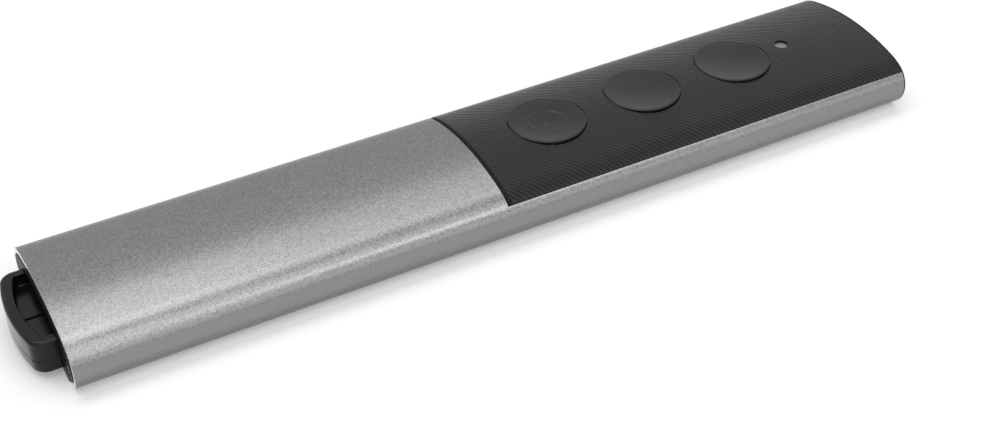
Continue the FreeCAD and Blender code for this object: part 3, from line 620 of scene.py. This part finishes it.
def lined_metal(name, dark, light, roughness, stretch=(40, 900, 900), detail=(4.0, 5.0, 0.65),
                dull_swing=0.08, depth=drawn_line_depth):
    """Rolled, plated or sawn metal with fine lines along one direction."""
    material, tree, place = new_material(name)
    mapping = add_node(tree, "ShaderNodeMapping", {"Vector": place, "Scale": stretch})
    lines = noise(tree, mapping.outputs[0], *detail)
    colour = shade(tree, spread(tree, lines, 0.35, 0.65), dark, light)
    rough = spread(tree, lines, 0.3, 0.7, roughness - 0.06, roughness + dull_swing)
    normal = bump(tree, lines, depth, 0.5)
    return finish_material(material, colour, rough, {"Metallic": 1.0, "Normal": normal})


def lens_glass():
    """Clear moulded optics with the faintest cloud in their polish."""
    material, tree, place = new_material("lens_glass")
    cloud = noise(tree, place, 900.0, 3.0)
    colour = shade(tree, cloud, (0.846, 0.855, 0.873), (0.94, 0.95, 0.97))
    rough = spread(tree, cloud, 0.2, 0.8, 0.02, 0.1)
    return finish_material(material, colour, rough, {"IOR": 1.49, "Transmission Weight": 1.0})


def solder_mask():
    """Green lacquer over copper lines that show as slightly raised tracks."""
    material, tree, place = new_material("board_green")
    tracks = add_node(tree, "ShaderNodeTexBrick", {"Vector": place, "Scale": 420.0, "Mortar Size": 0.06,
                                                  "Bias": 0.0, "Brick Width": 1.7, "Row Height": 0.45})
    grain = noise(tree, place, 2600.0, 3.0)
    colour = shade(tree, tracks.outputs["Fac"], (0.008, 0.075, 0.028), (0.02, 0.15, 0.05))
    normal = bump(tree, tracks.outputs["Fac"], track_depth, 0.6, bump(tree, grain, fine_grain_depth))
    rough = spread(tree, grain, 0.2, 0.8, 0.28, 0.4)
    return finish_material(material, colour, rough, {"Normal": normal})


# Finishes: dark and light tone, roughness, then grain size, grain depth and gloss where they differ
moulded_finishes = {
    "button_black": ((0.004, 0.004, 0.0042), (0.007, 0.007, 0.0073), 0.27, 0.12 * mm, 0.002 * mm, 0.3),
    "cap_black": ((0.003, 0.003, 0.0032), (0.0055, 0.0055, 0.0058), 0.45, mould_grain_size,
                  mould_grain_depth, 0.08),
    "receiver_black": ((0.004, 0.004, 0.0042), (0.007, 0.007, 0.0073), 0.2, 0.2 * mm, 0.003 * mm, 0.2),
    "chassis_black": (grey(0.012), grey(0.018), 0.55),
    "door_black": ((0.022, 0.022, 0.023), (0.031, 0.031, 0.032), 0.5),
    "switch_black": (grey(0.02), grey(0.03), 0.5),
    "switch_plunger_grey": ((0.2, 0.2, 0.21), (0.28, 0.28, 0.29), 0.45),
    "chip_black": ((0.016, 0.016, 0.017), (0.026, 0.026, 0.028), 0.6),
    "ceramic_white": ((0.62, 0.6, 0.55), (0.75, 0.73, 0.68), 0.5),
    "led_white": ((0.7, 0.7, 0.66), (0.82, 0.82, 0.78), 0.35),
    "guide_clear": (grey(0.17), grey(0.21), 0.3, 0.3 * mm, 0.004 * mm),
    "tongue_black": (grey(0.02), grey(0.03), 0.45),
}

# Finishes: dark and light tone, roughness, then the lines' stretch and detail where they differ
lined_finishes = {
    # The bright end that is left where the sleeve is cut to length after blasting
    "sawn_aluminium": ((0.4, 0.4, 0.41), (0.55, 0.55, 0.56), 0.21, (900, 260, 2600), (3.0, 4.0, 0.6), 0.03,
                       saw_line_depth),
    "can_steel": ((0.52, 0.52, 0.53), (0.66, 0.66, 0.67), 0.25),
    "cell_steel": (grey(0.6), grey(0.66), 0.28, (1200, 1200, 1200)),
    "spring_steel": ((0.45, 0.44, 0.42), (0.6, 0.59, 0.57), 0.3),
    "screw_black": ((0.03, 0.03, 0.031), (0.075, 0.075, 0.078), 0.32, (600, 600, 600)),
    "screw_steel": ((0.4, 0.4, 0.41), (0.6, 0.6, 0.61), 0.25, (600, 600, 600)),
    "plug_steel": ((0.55, 0.55, 0.56), (0.7, 0.7, 0.71), 0.24),
    "contact_gold": ((0.75, 0.52, 0.2), (0.9, 0.66, 0.3), 0.22),
    "laser_brass": ((0.55, 0.4, 0.18), (0.72, 0.54, 0.28), 0.3, (200, 900, 900)),
    "diode_steel": ((0.5, 0.46, 0.36), (0.66, 0.6, 0.48), 0.25),
}


def make_materials():
    made = {
        "sleeve_aluminium": blasted_aluminium(),
        "panel_black": ribbed_black(),
        "board_green": solder_mask(),
        "lens_glass": lens_glass(),
    }
    made.update((name, moulded(name, *values)) for name, values in moulded_finishes.items())
    made.update((name, lined_metal(name, *values)) for name, values in lined_finishes.items())
    return made


materials = make_materials()


def finish_frame_nodes():
    """Gives every node of the frame the finish of its own slot."""
    for part in frame["record"]["subparts"]:
        paint(nodes[part["node"]], part["node"])


# The pieces

def make_sleeve():
    outer = [section_ring(rear_x + rim_round * along, rim_round * inset) for along, inset in rim_shares]
    outer.append(section_ring(front_x, 0))
    inner = [section_ring(front_x, sleeve_wall), section_ring(rear_x + rim_round / 2, sleeve_wall)]
    inner.append(section_ring(rear_x, sleeve_wall - rim_round / 2))
    sleeve = lofted("sleeve", outer + inner, looped=True)
    side = panel_half_width + panel_side_gap
    window = block("window", (panel_low.x - panel_rear_gap, -side, side_radius),
                   (front_x + cut_over, side, sleeve_height + cut_over))
    half = door_high.y + door_gap
    doorway = block("doorway", (door_low.x - door_gap, -half, -cut_over),
                    (door_high.x - door_hook_reach + door_gap, half, side_radius),
                    door_corner_radius + door_gap)
    notch_half = foot_half + seat_gap
    notch = block("notch", (rear_x - cut_over, -notch_half, -cut_over),
                  (foot_back_x + seat_gap, notch_half, side_radius))
    cut(sleeve, window, doorway, notch)
    dressed(sleeve, "body_sleeve")
    sleeve.data.materials.append(materials["sawn_aluminium"])
    for face in sleeve.data.polygons:
        if face.center.x < rear_x + rim_round / 4 and face.normal.x < -0.5:
            face.material_index = 1
    return sleeve


def mark_relief(radius):
    """Height of the low ring, and depth of the dimple, that mark a button for the thumb."""
    off_ring = abs(radius - mark_radius + mark_width / 2) / (mark_width / 2)
    if off_ring < 1:
        return mark_height * (1 + cos(pi * off_ring)) / 2
    if radius < mark_dot_radius:
        return -mark_dot_depth * (1 + cos(pi * radius / mark_dot_radius)) / 2
    return 0


def make_button(name):
    """A dished cap with a flat rim, hollow below and with a stem on its switch."""
    node = "button_" + name
    low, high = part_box(node)
    top = high.z
    lip_top = crown_level(button_lip_radius, panel_thickness) - seat_gap
    dish_rim = button_cap_radius - button_rim_land
    dish_radius = (dish_rim ** 2 + button_dish_depth ** 2) / (2 * button_dish_depth)
    dish_z = top - button_dish_depth + dish_radius

    def dish(radius):
        return dish_z - sqrt(dish_radius ** 2 - radius ** 2)

    outline = [(0, dish(0))]
    stops = [dish_rim * i / dish_steps for i in range(1, dish_steps + 1)]
    if name == "rear":
        outline = [(0, dish(0) - mark_dot_depth)]
        ring_half = mark_width / 2
        for i in range(2 * mark_steps + 1):
            stops.append(mark_radius - ring_half + ring_half * (i / mark_steps - 1))
            stops.append(mark_dot_radius * (i + 1) / (2 * mark_steps + 1))
    for radius in sorted(stops):
        raised = mark_relief(radius) if name == "rear" else 0
        outline.append((radius, dish(radius) + raised))
    for level, inset in reversed(rounded_edge(top, button_rim_round, -1, rim_steps)):
        outline.append((button_cap_radius - inset, level))
    ceiling = top - button_dish_depth - button_skin
    outline += [(button_cap_radius, lip_top), (button_lip_radius, lip_top)]
    outline += [(button_lip_radius, lip_top - button_lip_thickness)]
    hollow = button_cap_radius - button_wall
    outline += [(hollow, lip_top - button_lip_thickness), (hollow, ceiling)]
    outline += [(button_stem_radius, ceiling), (button_stem_radius, low.z), (0, low.z)]
    cap = turned("cap_" + name, outline, middle_of(node))
    return dressed(cap, node, crease=50)


def geometry_tree(name, sockets):
    """A geometry node tree with its named inputs; gives the tree and what its inputs give."""
    tree = bpy.data.node_groups.new(name, "GeometryNodeTree")
    tree.interface.new_socket("Geometry", in_out="OUTPUT", socket_type="NodeSocketGeometry")
    for label, kind in sockets.items():
        tree.interface.new_socket(label, in_out="INPUT", socket_type="NodeSocket" + kind)
    return tree, add_node(tree, "NodeGroupInput").outputs


def joined(tree, *parts):
    both = add_node(tree, "GeometryNodeJoinGeometry")
    for part in parts:
        tree.links.new(part.outputs[0], both.inputs[0])
    return both


def finish_geometry(tree, geometry, material):
    """Ends a tree: copies are made real and given their finish."""
    real = add_node(tree, "GeometryNodeRealizeInstances", {0: geometry})
    painted = add_node(tree, "GeometryNodeSetMaterial", {0: real, "Material": material})
    add_node(tree, "NodeGroupOutput", {0: painted})
    return tree


def ribbed_skin():
    """Geometry nodes: a slab whose top follows the body's section and carries fine diagonal ribs."""
    sockets = {**dict.fromkeys(skin_sizes, "Float"), "Material": "Material"}
    tree, given = geometry_tree("ribbed skin", sockets)
    columns = int(skin_sizes["Length"] / skin_sizes["Rib pitch"] * rib_samples)
    grid = add_node(tree, "GeometryNodeMeshGrid", {"Size X": given["Length"], "Size Y": given["Width"],
                                                   "Vertices X": columns, "Vertices Y": skin_rows})
    place = add_node(tree, "GeometryNodeInputPosition")
    x, y = split(tree, place)[:2]
    across = maths(tree, "ABSOLUTE", y)
    level = None
    for centre, z, radius, _, end, _ in reversed(arcs):
        flat = minus(tree, across, centre)
        rise = minus(tree, radius * radius, times(tree, flat, flat))
        height = plus(tree, maths(tree, "SQRT", maths(tree, "MAXIMUM", rise, 0.0)), z)
        if level is None:
            level = height
            continue
        inside = add_node(tree, "FunctionNodeCompare", {0: across, 1: centre + radius * sin(end)},
                          operation="LESS_THAN").outputs[0]
        level = add_node(tree, "GeometryNodeSwitch", {0: inside, "False": level, "True": height},
                         input_type="FLOAT").outputs[0]
    turns = times(tree, maths(tree, "DIVIDE", x, given["Rib pitch"]), 2 * pi)
    wave = times(tree, minus(tree, maths(tree, "COSINE", turns), 1.0), 0.5)
    level = plus(tree, level, times(tree, wave, given["Rib depth"]))
    along = plus(tree, minus(tree, x, y), given["Middle"])
    target = combine(tree, along, y, level)
    top = add_node(tree, "GeometryNodeSetPosition", {"Geometry": grid, "Position": target})
    drop = minus(tree, given["Base"], split(tree, add_node(tree, "GeometryNodeInputPosition"))[2])
    fall = combine(tree, z=drop)
    slab = add_node(tree, "GeometryNodeExtrudeMesh", {"Mesh": top, "Offset": fall, "Individual": False})
    under = add_node(tree, "GeometryNodeFlipFaces", {"Mesh": slab.outputs["Mesh"]})
    both = joined(tree, top, under)
    merged = add_node(tree, "GeometryNodeMergeByDistance", {"Geometry": both, "Distance": weld})
    return finish_geometry(tree, merged, given["Material"])


def nodes_piece(name, tree, values, points=()):
    """Runs a geometry tree on a few points, or on none, and keeps the result as a plain mesh."""
    mesh = bpy.data.meshes.new(name)
    mesh.from_pydata([tuple(point) for point in points], [], [])
    piece = piece_from(name, mesh)
    run = piece.modifiers.new(name, "NODES")
    run.node_group = tree
    for item in tree.interface.items_tree:
        if item.in_out == "INPUT" and item.name in values:
            run[item.identifier] = values[item.name]
    return baked(piece)


def drum(name, centre, radius, low_z, high_z, steps=turn_steps):
    return turned(name, [(0, low_z), (radius, low_z), (radius, high_z), (0, high_z)], centre, steps=steps)


def make_panel():
    """The ribbed skin kept inside a clean panel form, with its four round holes."""
    rings = []
    for i, (x, inset) in enumerate(reversed(rounded_edge(panel_low.x, panel_edge_round, 1, rim_steps))):
        rings.append(section_ring(x, inset - skin_proud * i / rim_steps))
    rings.append(section_ring(panel_high.x, -skin_proud))
    form = lofted("form", rings)
    side = panel_half_width
    keep = block("keep", (panel_low.x - cut_over, -side, panel_foot),
                 (panel_high.x + cut_over, side, sleeve_height + cut_over))
    with_solid(form, keep, "INTERSECT")
    hollow = lofted("hollow", [section_ring(panel_low.x - cut_over, panel_thickness),
                               section_ring(panel_high.x + cut_over, panel_thickness)])
    cut(form, hollow)
    holes = [("button_" + name, button_hole_radius) for name in button_names]
    for node, radius in [*holes, ("light_guide", guide_hole_radius)]:
        cut(form, drum("hole", middle_of(node), radius, panel_foot, sleeve_height + cut_over))
    panel = nodes_piece("panel", ribbed_skin(), {**skin_sizes, "Material": materials["panel_black"]})
    with_solid(panel, form, "INTERSECT")
    return dressed(panel, "button_panel", crease=40)


def make_light_guide():
    """The frosted pin over the status light, with a collar below the panel and a slightly domed end."""
    collar_radius = (guide_high.x - guide_low.x) / 2
    collar_top = crown_level(collar_radius, panel_thickness) - seat_gap
    collar_foot = collar_top - guide_collar_height
    outline = [(0, guide_low.z), (guide_radius, guide_low.z), (guide_radius, collar_foot)]
    outline += [(collar_radius, collar_foot), (collar_radius, collar_top), (guide_radius, collar_top)]
    for i in range(guide_dome_steps + 1):
        share = 1 - i / guide_dome_steps
        outline.append((guide_radius * share, guide_high.z - guide_dome * share ** 2))
    guide = turned("status_light_guide", outline, middle_of("light_guide"), steps=small_turn_steps)
    return dressed(guide, "light_guide")


def make_front_cap():
    """The flange on the body's outline, with its rounded rim, on the plug that fills the sleeve's end."""
    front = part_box("front_cap")[1].x
    back = panel_high.x
    rim = rounded_edge(front, flange_round, -1, rim_steps)
    rings = [section_ring(back, 0)] + [section_ring(x, inset) for x, inset in rim]
    flange = lofted("front_cap_flange", rings)
    tools = []
    for radius, start in ((window_seat_radius, front - window_seat_depth), (bore_radius, back - cut_over)):
        outline = [(0, start), (radius, start), (radius, front + cut_over), (0, front + cut_over)]
        tools.append(turned("opening", outline, Vector((0, 0, laser_level)), along_x))
    cut(flange, *tools)
    plug = solid_copy("front_cap", "front_cap_plug")
    shape = shape_of(plug.data)
    sliced = bmesh.ops.bisect_plane(shape, geom=shape.verts[:] + shape.edges[:] + shape.faces[:],
                                    plane_co=(back, 0, 0), plane_no=(1, 0, 0), clear_outer=True)
    mouth = [part for part in sliced["geom_cut"] if isinstance(part, bmesh.types.BMEdge)]
    bmesh.ops.triangle_fill(shape, edges=mouth, use_beauty=True)
    bmesh.ops.recalc_face_normals(shape, faces=shape.faces)
    shape.to_mesh(plug.data)
    shape.free()
    join_meshes(flange, plug)
    return dressed(flange, "front_cap")


def join_meshes(piece, *others):
    shape = shape_of(piece.data)
    for other in others:
        shape.from_mesh(other.data)
        bpy.data.objects.remove(other)
    shape.to_mesh(piece.data)
    shape.free()
    return piece


def solid_copy(node, name):
    """A copy of a frame node's mesh with its loose triangles merged into clean faces."""
    shape = shape_of(nodes[node].data)
    bmesh.ops.remove_doubles(shape, verts=shape.verts, dist=copy_weld)
    bmesh.ops.dissolve_limit(shape, angle_limit=radians(1), verts=shape.verts, edges=shape.edges)
    return mesh_piece(name, shape)


def make_eased(node, name, width):
    """A frame node's form with its sharp edges eased, as a mould or a cutter leaves them."""
    return dressed(bevelled(solid_copy(node, name), width, angle=40), node)


def head_ring(z, inset, nose_inset, front, radius):
    """The receiver head's outline at a level: straight sides, round corners and a gently bowed nose."""
    half = head_high.y - inset
    bow_radius = (half ** 2 + head_bow ** 2) / (2 * head_bow)
    centre = head_low.x + nose_inset + bow_radius
    corner_x = centre - sqrt((bow_radius - radius) ** 2 - (half - radius) ** 2)
    corner_y = half - radius
    turn = atan2(corner_y, centre - corner_x)
    points = [(front, half), *arc(corner_x, corner_y, radius, pi / 2, pi - turn, head_steps)]
    points += arc(centre, 0, bow_radius, pi - turn, pi + turn, 2 * head_steps)[1:-1]
    points += arc(corner_x, -corner_y, radius, pi + turn, 3 * pi / 2, head_steps)
    return [Vector((x, y, z)) for x, y in [*points, (front, -half)]]


def head_shell(name, levels):
    rings = [head_ring(z, inset, inset, head_high.x, head_corner_radius - inset) for z, inset in levels]
    return lofted(name, rings)


def make_receiver_shells():
    """The two shells of the receiver's head, their parting groove and the finger pocket."""
    top, bottom = head_high.z, head_low.z
    low_levels = rounded_edge(bottom, head_edge_round, 1)[::-1]
    seam = [(seam_half + seam_soft, 0), (seam_half, seam_soft), (seam_half, seam_depth), (0, seam_depth)]
    low_levels += [(head_split - away, inset) for away, inset in seam]
    high_levels = [(head_split + away, inset) for away, inset in reversed(seam)]
    high_levels += rounded_edge(top, head_edge_round, -1)
    lower = head_shell("receiver_lower", low_levels)
    upper = head_shell("receiver_upper", high_levels)
    front = head_high.x - pocket_front_wall
    lip = pocket_lip_round
    tool_levels = rounded_edge(pocket_floor, pocket_foot_round, 1)[::-1]
    tool_levels += [(level, -inset) for level, inset in rounded_edge(top, lip, -1)]
    tool_levels.append((top + cut_over, -lip))
    tool_rings = []
    for z, inset in tool_levels:
        tool_rings.append(head_ring(z, pocket_side_wall + inset, pocket_nose_wall + inset, front - inset,
                                    pocket_corner_radius + max(-inset, 0)))
    pocket = lofted("pocket", tool_rings)
    rib = block("rib", (head_low.x, -pocket_rib_half, pocket_floor - cut_over),
                (front, pocket_rib_half, pocket_floor + pocket_rib_height))
    cut(pocket, rib)
    cut(upper, pocket)
    plug_low, plug_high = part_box("usb_plug_shell")
    tail_x = plug_low.x - seat_gap
    space_levels = (bottom + head_wall, pocket_floor - head_wall)
    for shell in (lower, upper):
        space = lofted("space", [head_ring(z, head_wall, pocket_nose_wall, tail_x + seat_gap,
                                           head_corner_radius / 2) for z in space_levels])
        tail = block("tail", (tail_x, plug_low.y - seat_gap, plug_low.z - seat_gap),
                     (head_high.x + cut_over, plug_high.y + seat_gap, plug_high.z + seat_gap))
        cut(shell, space, tail)
    dressed(lower, "receiver_lower_shell")
    dressed(upper, "receiver_upper_shell")


# Repeated pieces: one form set at every place that the frame gives

def solid_boxes(node):
    """Lowest and highest corner of each separate solid in a frame node, along X."""
    shape = shape_of(nodes[node].data)
    bmesh.ops.remove_doubles(shape, verts=shape.verts, dist=copy_weld)
    left = set(shape.verts)
    boxes = []
    while left:
        group = [left.pop()]
        for vert in group:
            for edge in vert.link_edges:
                other = edge.other_vert(vert)
                if other in left:
                    left.remove(other)
                    group.append(other)
        corners = [[vert.co[axis] for vert in group] for axis in range(3)]
        low = Vector([min(values) for values in corners])
        boxes.append((low, Vector([max(values) for values in corners])))
    shape.free()
    return sorted(boxes, key=lambda box: (round(box[0].x, 6), round(box[0].y, 6)))


def alike_solids(node):
    """Half the size of one of a node's alike solids, and the middle of each."""
    boxes = solid_boxes(node)
    low, high = boxes[0]
    return (high - low) / 2, [(low + high) / 2 for low, high in boxes]


def copies_tree():
    """Geometry nodes: a form set on every point of the mesh, made real and given its finish."""
    sockets = {"Points": "Geometry", "Form": "Object", "Size": "Float", "Material": "Material"}
    tree, given = geometry_tree("copies", sockets)
    form = add_node(tree, "GeometryNodeObjectInfo", {"Object": given["Form"]}).outputs["Geometry"]
    placed = add_node(tree, "GeometryNodeInstanceOnPoints", {"Points": given["Points"], "Instance": form,
                                                             "Scale": given["Size"]})
    return finish_geometry(tree, placed, given["Material"])


def make_copies(name, node, form, places):
    """The form at each place, in the finish and on the body of the frame node that it stands for."""
    values = {"Form": form, "Size": 1.0, "Material": materials[slot_of(node)]}
    piece = nodes_piece(name, copies_tree(), values, places)
    bpy.data.objects.remove(form)
    return dressed(piece, node)


def screw_form(head_radius, head_height, shank_radius, shank_length, slots):
    """A pan-head screw on Z, its head's seat at the origin, with one slot or a cross."""
    root = shank_radius - screw_groove
    outline = [(0, -shank_length), (shank_radius * screw_tip_share, -shank_length)]
    for i in range(int((shank_length - screw_pitch) / screw_pitch)):
        level = -shank_length + screw_pitch * (i + 0.5)
        outline += [(root, level), (shank_radius, level + screw_pitch / 2)]
    outline += [(root, -screw_pitch / 2), (root, 0), (head_radius - screw_edge, 0), (head_radius, screw_edge)]
    share = screw_dome_share
    for level, inset in rounded_edge(1, 1, -1, screw_dome_steps):
        outline.append((head_radius * (1 - share * inset), head_height * (share + (1 - share) * level)))
    outline.append((0, head_height))
    form = turned("screw_form", outline, Vector(), steps=screw_turn_steps)
    for size_x, size_y in slots:
        half = Vector((size_x, size_y, 0)) / 2
        low = Vector((-half.x, -half.y, head_height - screw_slot_depth))
        cut(form, block("slot", low, (half.x, half.y, head_height + cut_over)))
    return form


def make_board_screws():
    half, middles = alike_solids("board_screws")
    low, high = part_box("board_screws")
    seat_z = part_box("main_board")[1].z
    slots = [(screw_slot_width, 2 * half.x + cut_over)]
    form = screw_form(half.x, high.z - seat_z, board_shank_radius, seat_z - low.z, slots)
    places = [(middle.x, middle.y, seat_z) for middle in middles]
    make_copies("board_screw_set", "board_screws", form, places)


def make_rear_screws():
    half, middles = alike_solids("rear_cap_screws")
    low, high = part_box("rear_cap_screws")
    seat_x = low.x + rear_head_height
    slots = [(screw_slot_width, rear_cross_length), (rear_cross_length, screw_slot_width)]
    form = screw_form(half.y, rear_head_height, rear_shank_radius, high.x - seat_x, slots)
    outward = Matrix(((0, 0, -1), (0, 1, 0), (1, 0, 0)))
    form.data.transform(outward.to_4x4())
    places = [(seat_x, middle.y, middle.z) for middle in middles]
    make_copies("rear_screw_set", "rear_cap_screws", form, places)


def make_switches():
    half, middles = alike_solids("switch_bodies")
    form = block("switch_form", -half, half, switch_corner_radius, steps=3)
    well = drum("well", Vector(), switch_well_radius, -half.z + switch_well_floor, half.z + cut_over,
                screw_turn_steps)
    cut(form, well)
    bevelled(form, switch_round)
    make_copies("switch_set", "switch_bodies", form, middles)


def make_plug_contacts():
    half, middles = alike_solids("usb_contacts")
    form = bevelled(block("contact_form", -half, half, contact_corner_radius, steps=5), contact_round)
    make_copies("plug_contact_set", "usb_contacts", form, middles)


def capped_chips_tree():
    """Geometry nodes: small ceramic bodies with plated ends, one on every point."""
    sockets = {"Points": "Geometry", **dict.fromkeys(("Length", "Width", "Height", "End"), "Float"),
               "Ceramic": "Material", "Plating": "Material"}
    tree, given = geometry_tree("capped chips", sockets)
    inner_x = minus(tree, given["Length"], times(tree, given["End"], 2.0))
    inner_y = minus(tree, given["Width"], chip_plating)
    inner_z = minus(tree, given["Height"], chip_plating)
    size = combine(tree, inner_x, inner_y, inner_z)
    body = add_node(tree, "GeometryNodeMeshCube", {"Size": size})
    end_size = combine(tree, given["End"], given["Width"], given["Height"])
    parts = [body]
    reach = times(tree, minus(tree, given["Length"], given["End"]), 0.5)
    for side in (-1.0, 1.0):
        cap = add_node(tree, "GeometryNodeMeshCube", {"Size": end_size})
        marked = add_node(tree, "GeometryNodeStoreNamedAttribute", {"Geometry": cap, "Name": "plated"},
                          data_type="BOOLEAN", domain="FACE")
        next(s for s in marked.inputs if s.name == "Value" and s.enabled).default_value = True
        shift = combine(tree, times(tree, reach, side))
        moved = add_node(tree, "GeometryNodeSetPosition", {"Geometry": marked, "Offset": shift})
        parts.append(moved)
    placed = add_node(tree, "GeometryNodeInstanceOnPoints", {"Points": given["Points"],
                                                             "Instance": joined(tree, *parts)})
    real = add_node(tree, "GeometryNodeRealizeInstances", {0: placed})
    fired = add_node(tree, "GeometryNodeSetMaterial", {0: real, "Material": given["Ceramic"]})
    plated = add_node(tree, "GeometryNodeInputNamedAttribute", {"Name": "plated"}, data_type="BOOLEAN")
    mask = next(s for s in plated.outputs if s.name == "Attribute" and s.enabled)
    done = add_node(tree, "GeometryNodeSetMaterial", {0: fired, "Selection": mask,
                                                      "Material": given["Plating"]})
    add_node(tree, "NodeGroupOutput", {0: done})
    return tree


def make_passives():
    half, middles = alike_solids("board_passives")
    values = {"Length": 2 * half.x, "Width": 2 * half.y, "Height": 2 * half.z, "End": chip_end_length,
              "Ceramic": materials["ceramic_white"], "Plating": materials["can_steel"]}
    piece = nodes_piece("board_chip_set", capped_chips_tree(), values, middles)
    dressed(piece, "board_passives", painted=True)


def make_coin_cell():
    """The can with its turned-up rim, and the slightly smaller lid that the seal holds in it."""
    low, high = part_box("coin_cell")
    radius = (high.x - low.x) / 2
    base = low.z + cell_sink
    outline = [(0, base), (radius * cell_sink_share, base), (radius * cell_foot_share, low.z)]
    outline += [(radius - inset, level) for level, inset in reversed(rounded_edge(low.z, cell_edge_round, 1))]
    crimp_top = high.z - cell_crimp_drop
    outline += [(radius - inset, level) for level, inset in rounded_edge(crimp_top, cell_crimp_round, -1)]
    mouth = radius - cell_crimp_round
    lid = mouth - cell_seal_width
    seal = high.z - cell_seal_depth
    outline += [(mouth - cell_seal_lip, seal), (lid, seal), (lid - cell_sink, crimp_top)]
    outline += [(lid - cell_lid_round, high.z), (0, high.z)]
    cell = turned("cell", outline, middle_of("coin_cell"))
    dressed(cell, "coin_cell")


def make_laser_lens():
    """A lens with a ground edge and a bulging front face."""
    low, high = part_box("laser_lens")
    radius = (high.y - low.y) / 2
    outline = [(0, low.x), (radius - lens_edge, low.x), (radius, low.x + lens_edge)]
    outline.append((radius, high.x - lens_bulge))
    outline += [(radius * share, high.x - lens_bulge * share ** 2) for share in lens_shares]
    outline.append((0, high.x))
    lens = turned("collimator_lens", outline, Vector((0, 0, (low.z + high.z) / 2)), along_x, small_turn_steps)
    dressed(lens, "laser_lens")


def seen_rays(tree):
    """One where the camera, a gloss or a clear piece looks, and one where only a gloss does."""
    path = add_node(tree, "ShaderNodeLightPath").outputs
    through = maths(tree, "MAXIMUM", path["Is Glossy Ray"], path["Is Transmission Ray"])
    return maths(tree, "MAXIMUM", path["Is Camera Ray"], through), path["Is Glossy Ray"]


def make_scene_stage():
    """A white floor that glows a little where it is seen, so that it meets the white behind it."""
    shape = bmesh.new()
    bmesh.ops.create_grid(shape, x_segments=1, y_segments=1, size=floor_size)
    floor = mesh_piece("floor", shape)
    floor.data.transform(Matrix.Translation((0, 0, -floor_drop)))
    material, tree = new_material("floor_white")[:2]
    seen, mirror = seen_rays(tree)
    mirrored = times(tree, mirror, 0.2)
    glowing = plus(tree, times(tree, seen, 0.2), mirrored)
    paper = add_node(tree, "ShaderNodeBsdfDiffuse", {"Color": (0.82, 0.82, 0.82, 1)})
    glow = add_node(tree, "ShaderNodeEmission", {"Color": (1, 1, 1, 1), "Strength": glowing})
    both = add_node(tree, "ShaderNodeAddShader", {0: paper, 1: glow})
    add_node(tree, "ShaderNodeOutputMaterial", {"Surface": both})
    floor.data.materials.append(material)


def make_world():
    world = bpy.data.worlds.new("studio")
    bpy.context.scene.world = world
    world.use_nodes = True
    tree = world.node_tree
    tree.nodes.clear()
    seen = seen_rays(tree)[0]
    strength = spread(tree, seen, 0.0, 1.0, 0.3, 1.0)
    sky = add_node(tree, "ShaderNodeBackground", {"Color": (1, 1, 1, 1), "Strength": strength})
    add_node(tree, "ShaderNodeOutputWorld", {"Surface": sky})


def turn_and_place(holder, right, up, back, place):
    turn = Matrix((right, up, back)).transposed().to_4x4()
    holder.matrix_world = Matrix.Translation(place) @ turn


def make_lights():
    """Long softboxes round the body, each at an angle from straight up towards the near side."""
    for name, angle, breadth, start, end, strength in softboxes:
        lean = radians(angle)
        aim = Vector((0, -sin(lean), cos(lean)))
        along = Vector((1, 0, 0))
        lamp = bpy.data.lights.new(name, "AREA")
        lamp.shape = "RECTANGLE"
        lamp.size = end - start
        lamp.size_y = 2 * lamp_distance * tan(radians(breadth) / 2)
        lamp.energy = strength * pi * lamp.size * lamp.size_y
        holder = piece_from(name, lamp)
        middle = aim * lamp_distance + along * (start + end) / 2
        turn_and_place(holder, along, aim.cross(along), aim, middle)


def make_camera():
    camera = bpy.data.cameras.new("camera")
    camera.lens = camera_lens
    camera.sensor_width = camera_sensor
    camera.clip_start = 0.01
    holder = piece_from("camera", camera)
    back = camera_right.cross(-camera_down)
    turn_and_place(holder, camera_right, -camera_down, back, camera_place)
    bpy.context.scene.camera = holder


make_camera()
finish_frame_nodes()
make_sleeve()
make_panel()
for button in button_names:
    make_button(button)
make_light_guide()
make_front_cap()
make_receiver_shells()
for node, name, width in eased_nodes:
    make_eased(node, name, width)
make_board_screws()
make_rear_screws()
make_switches()
make_plug_contacts()
make_passives()
make_coin_cell()
make_laser_lens()
make_scene_stage()
make_world()
make_lights()

view = bpy.context.scene.view_settings
view.view_transform = "Standard"
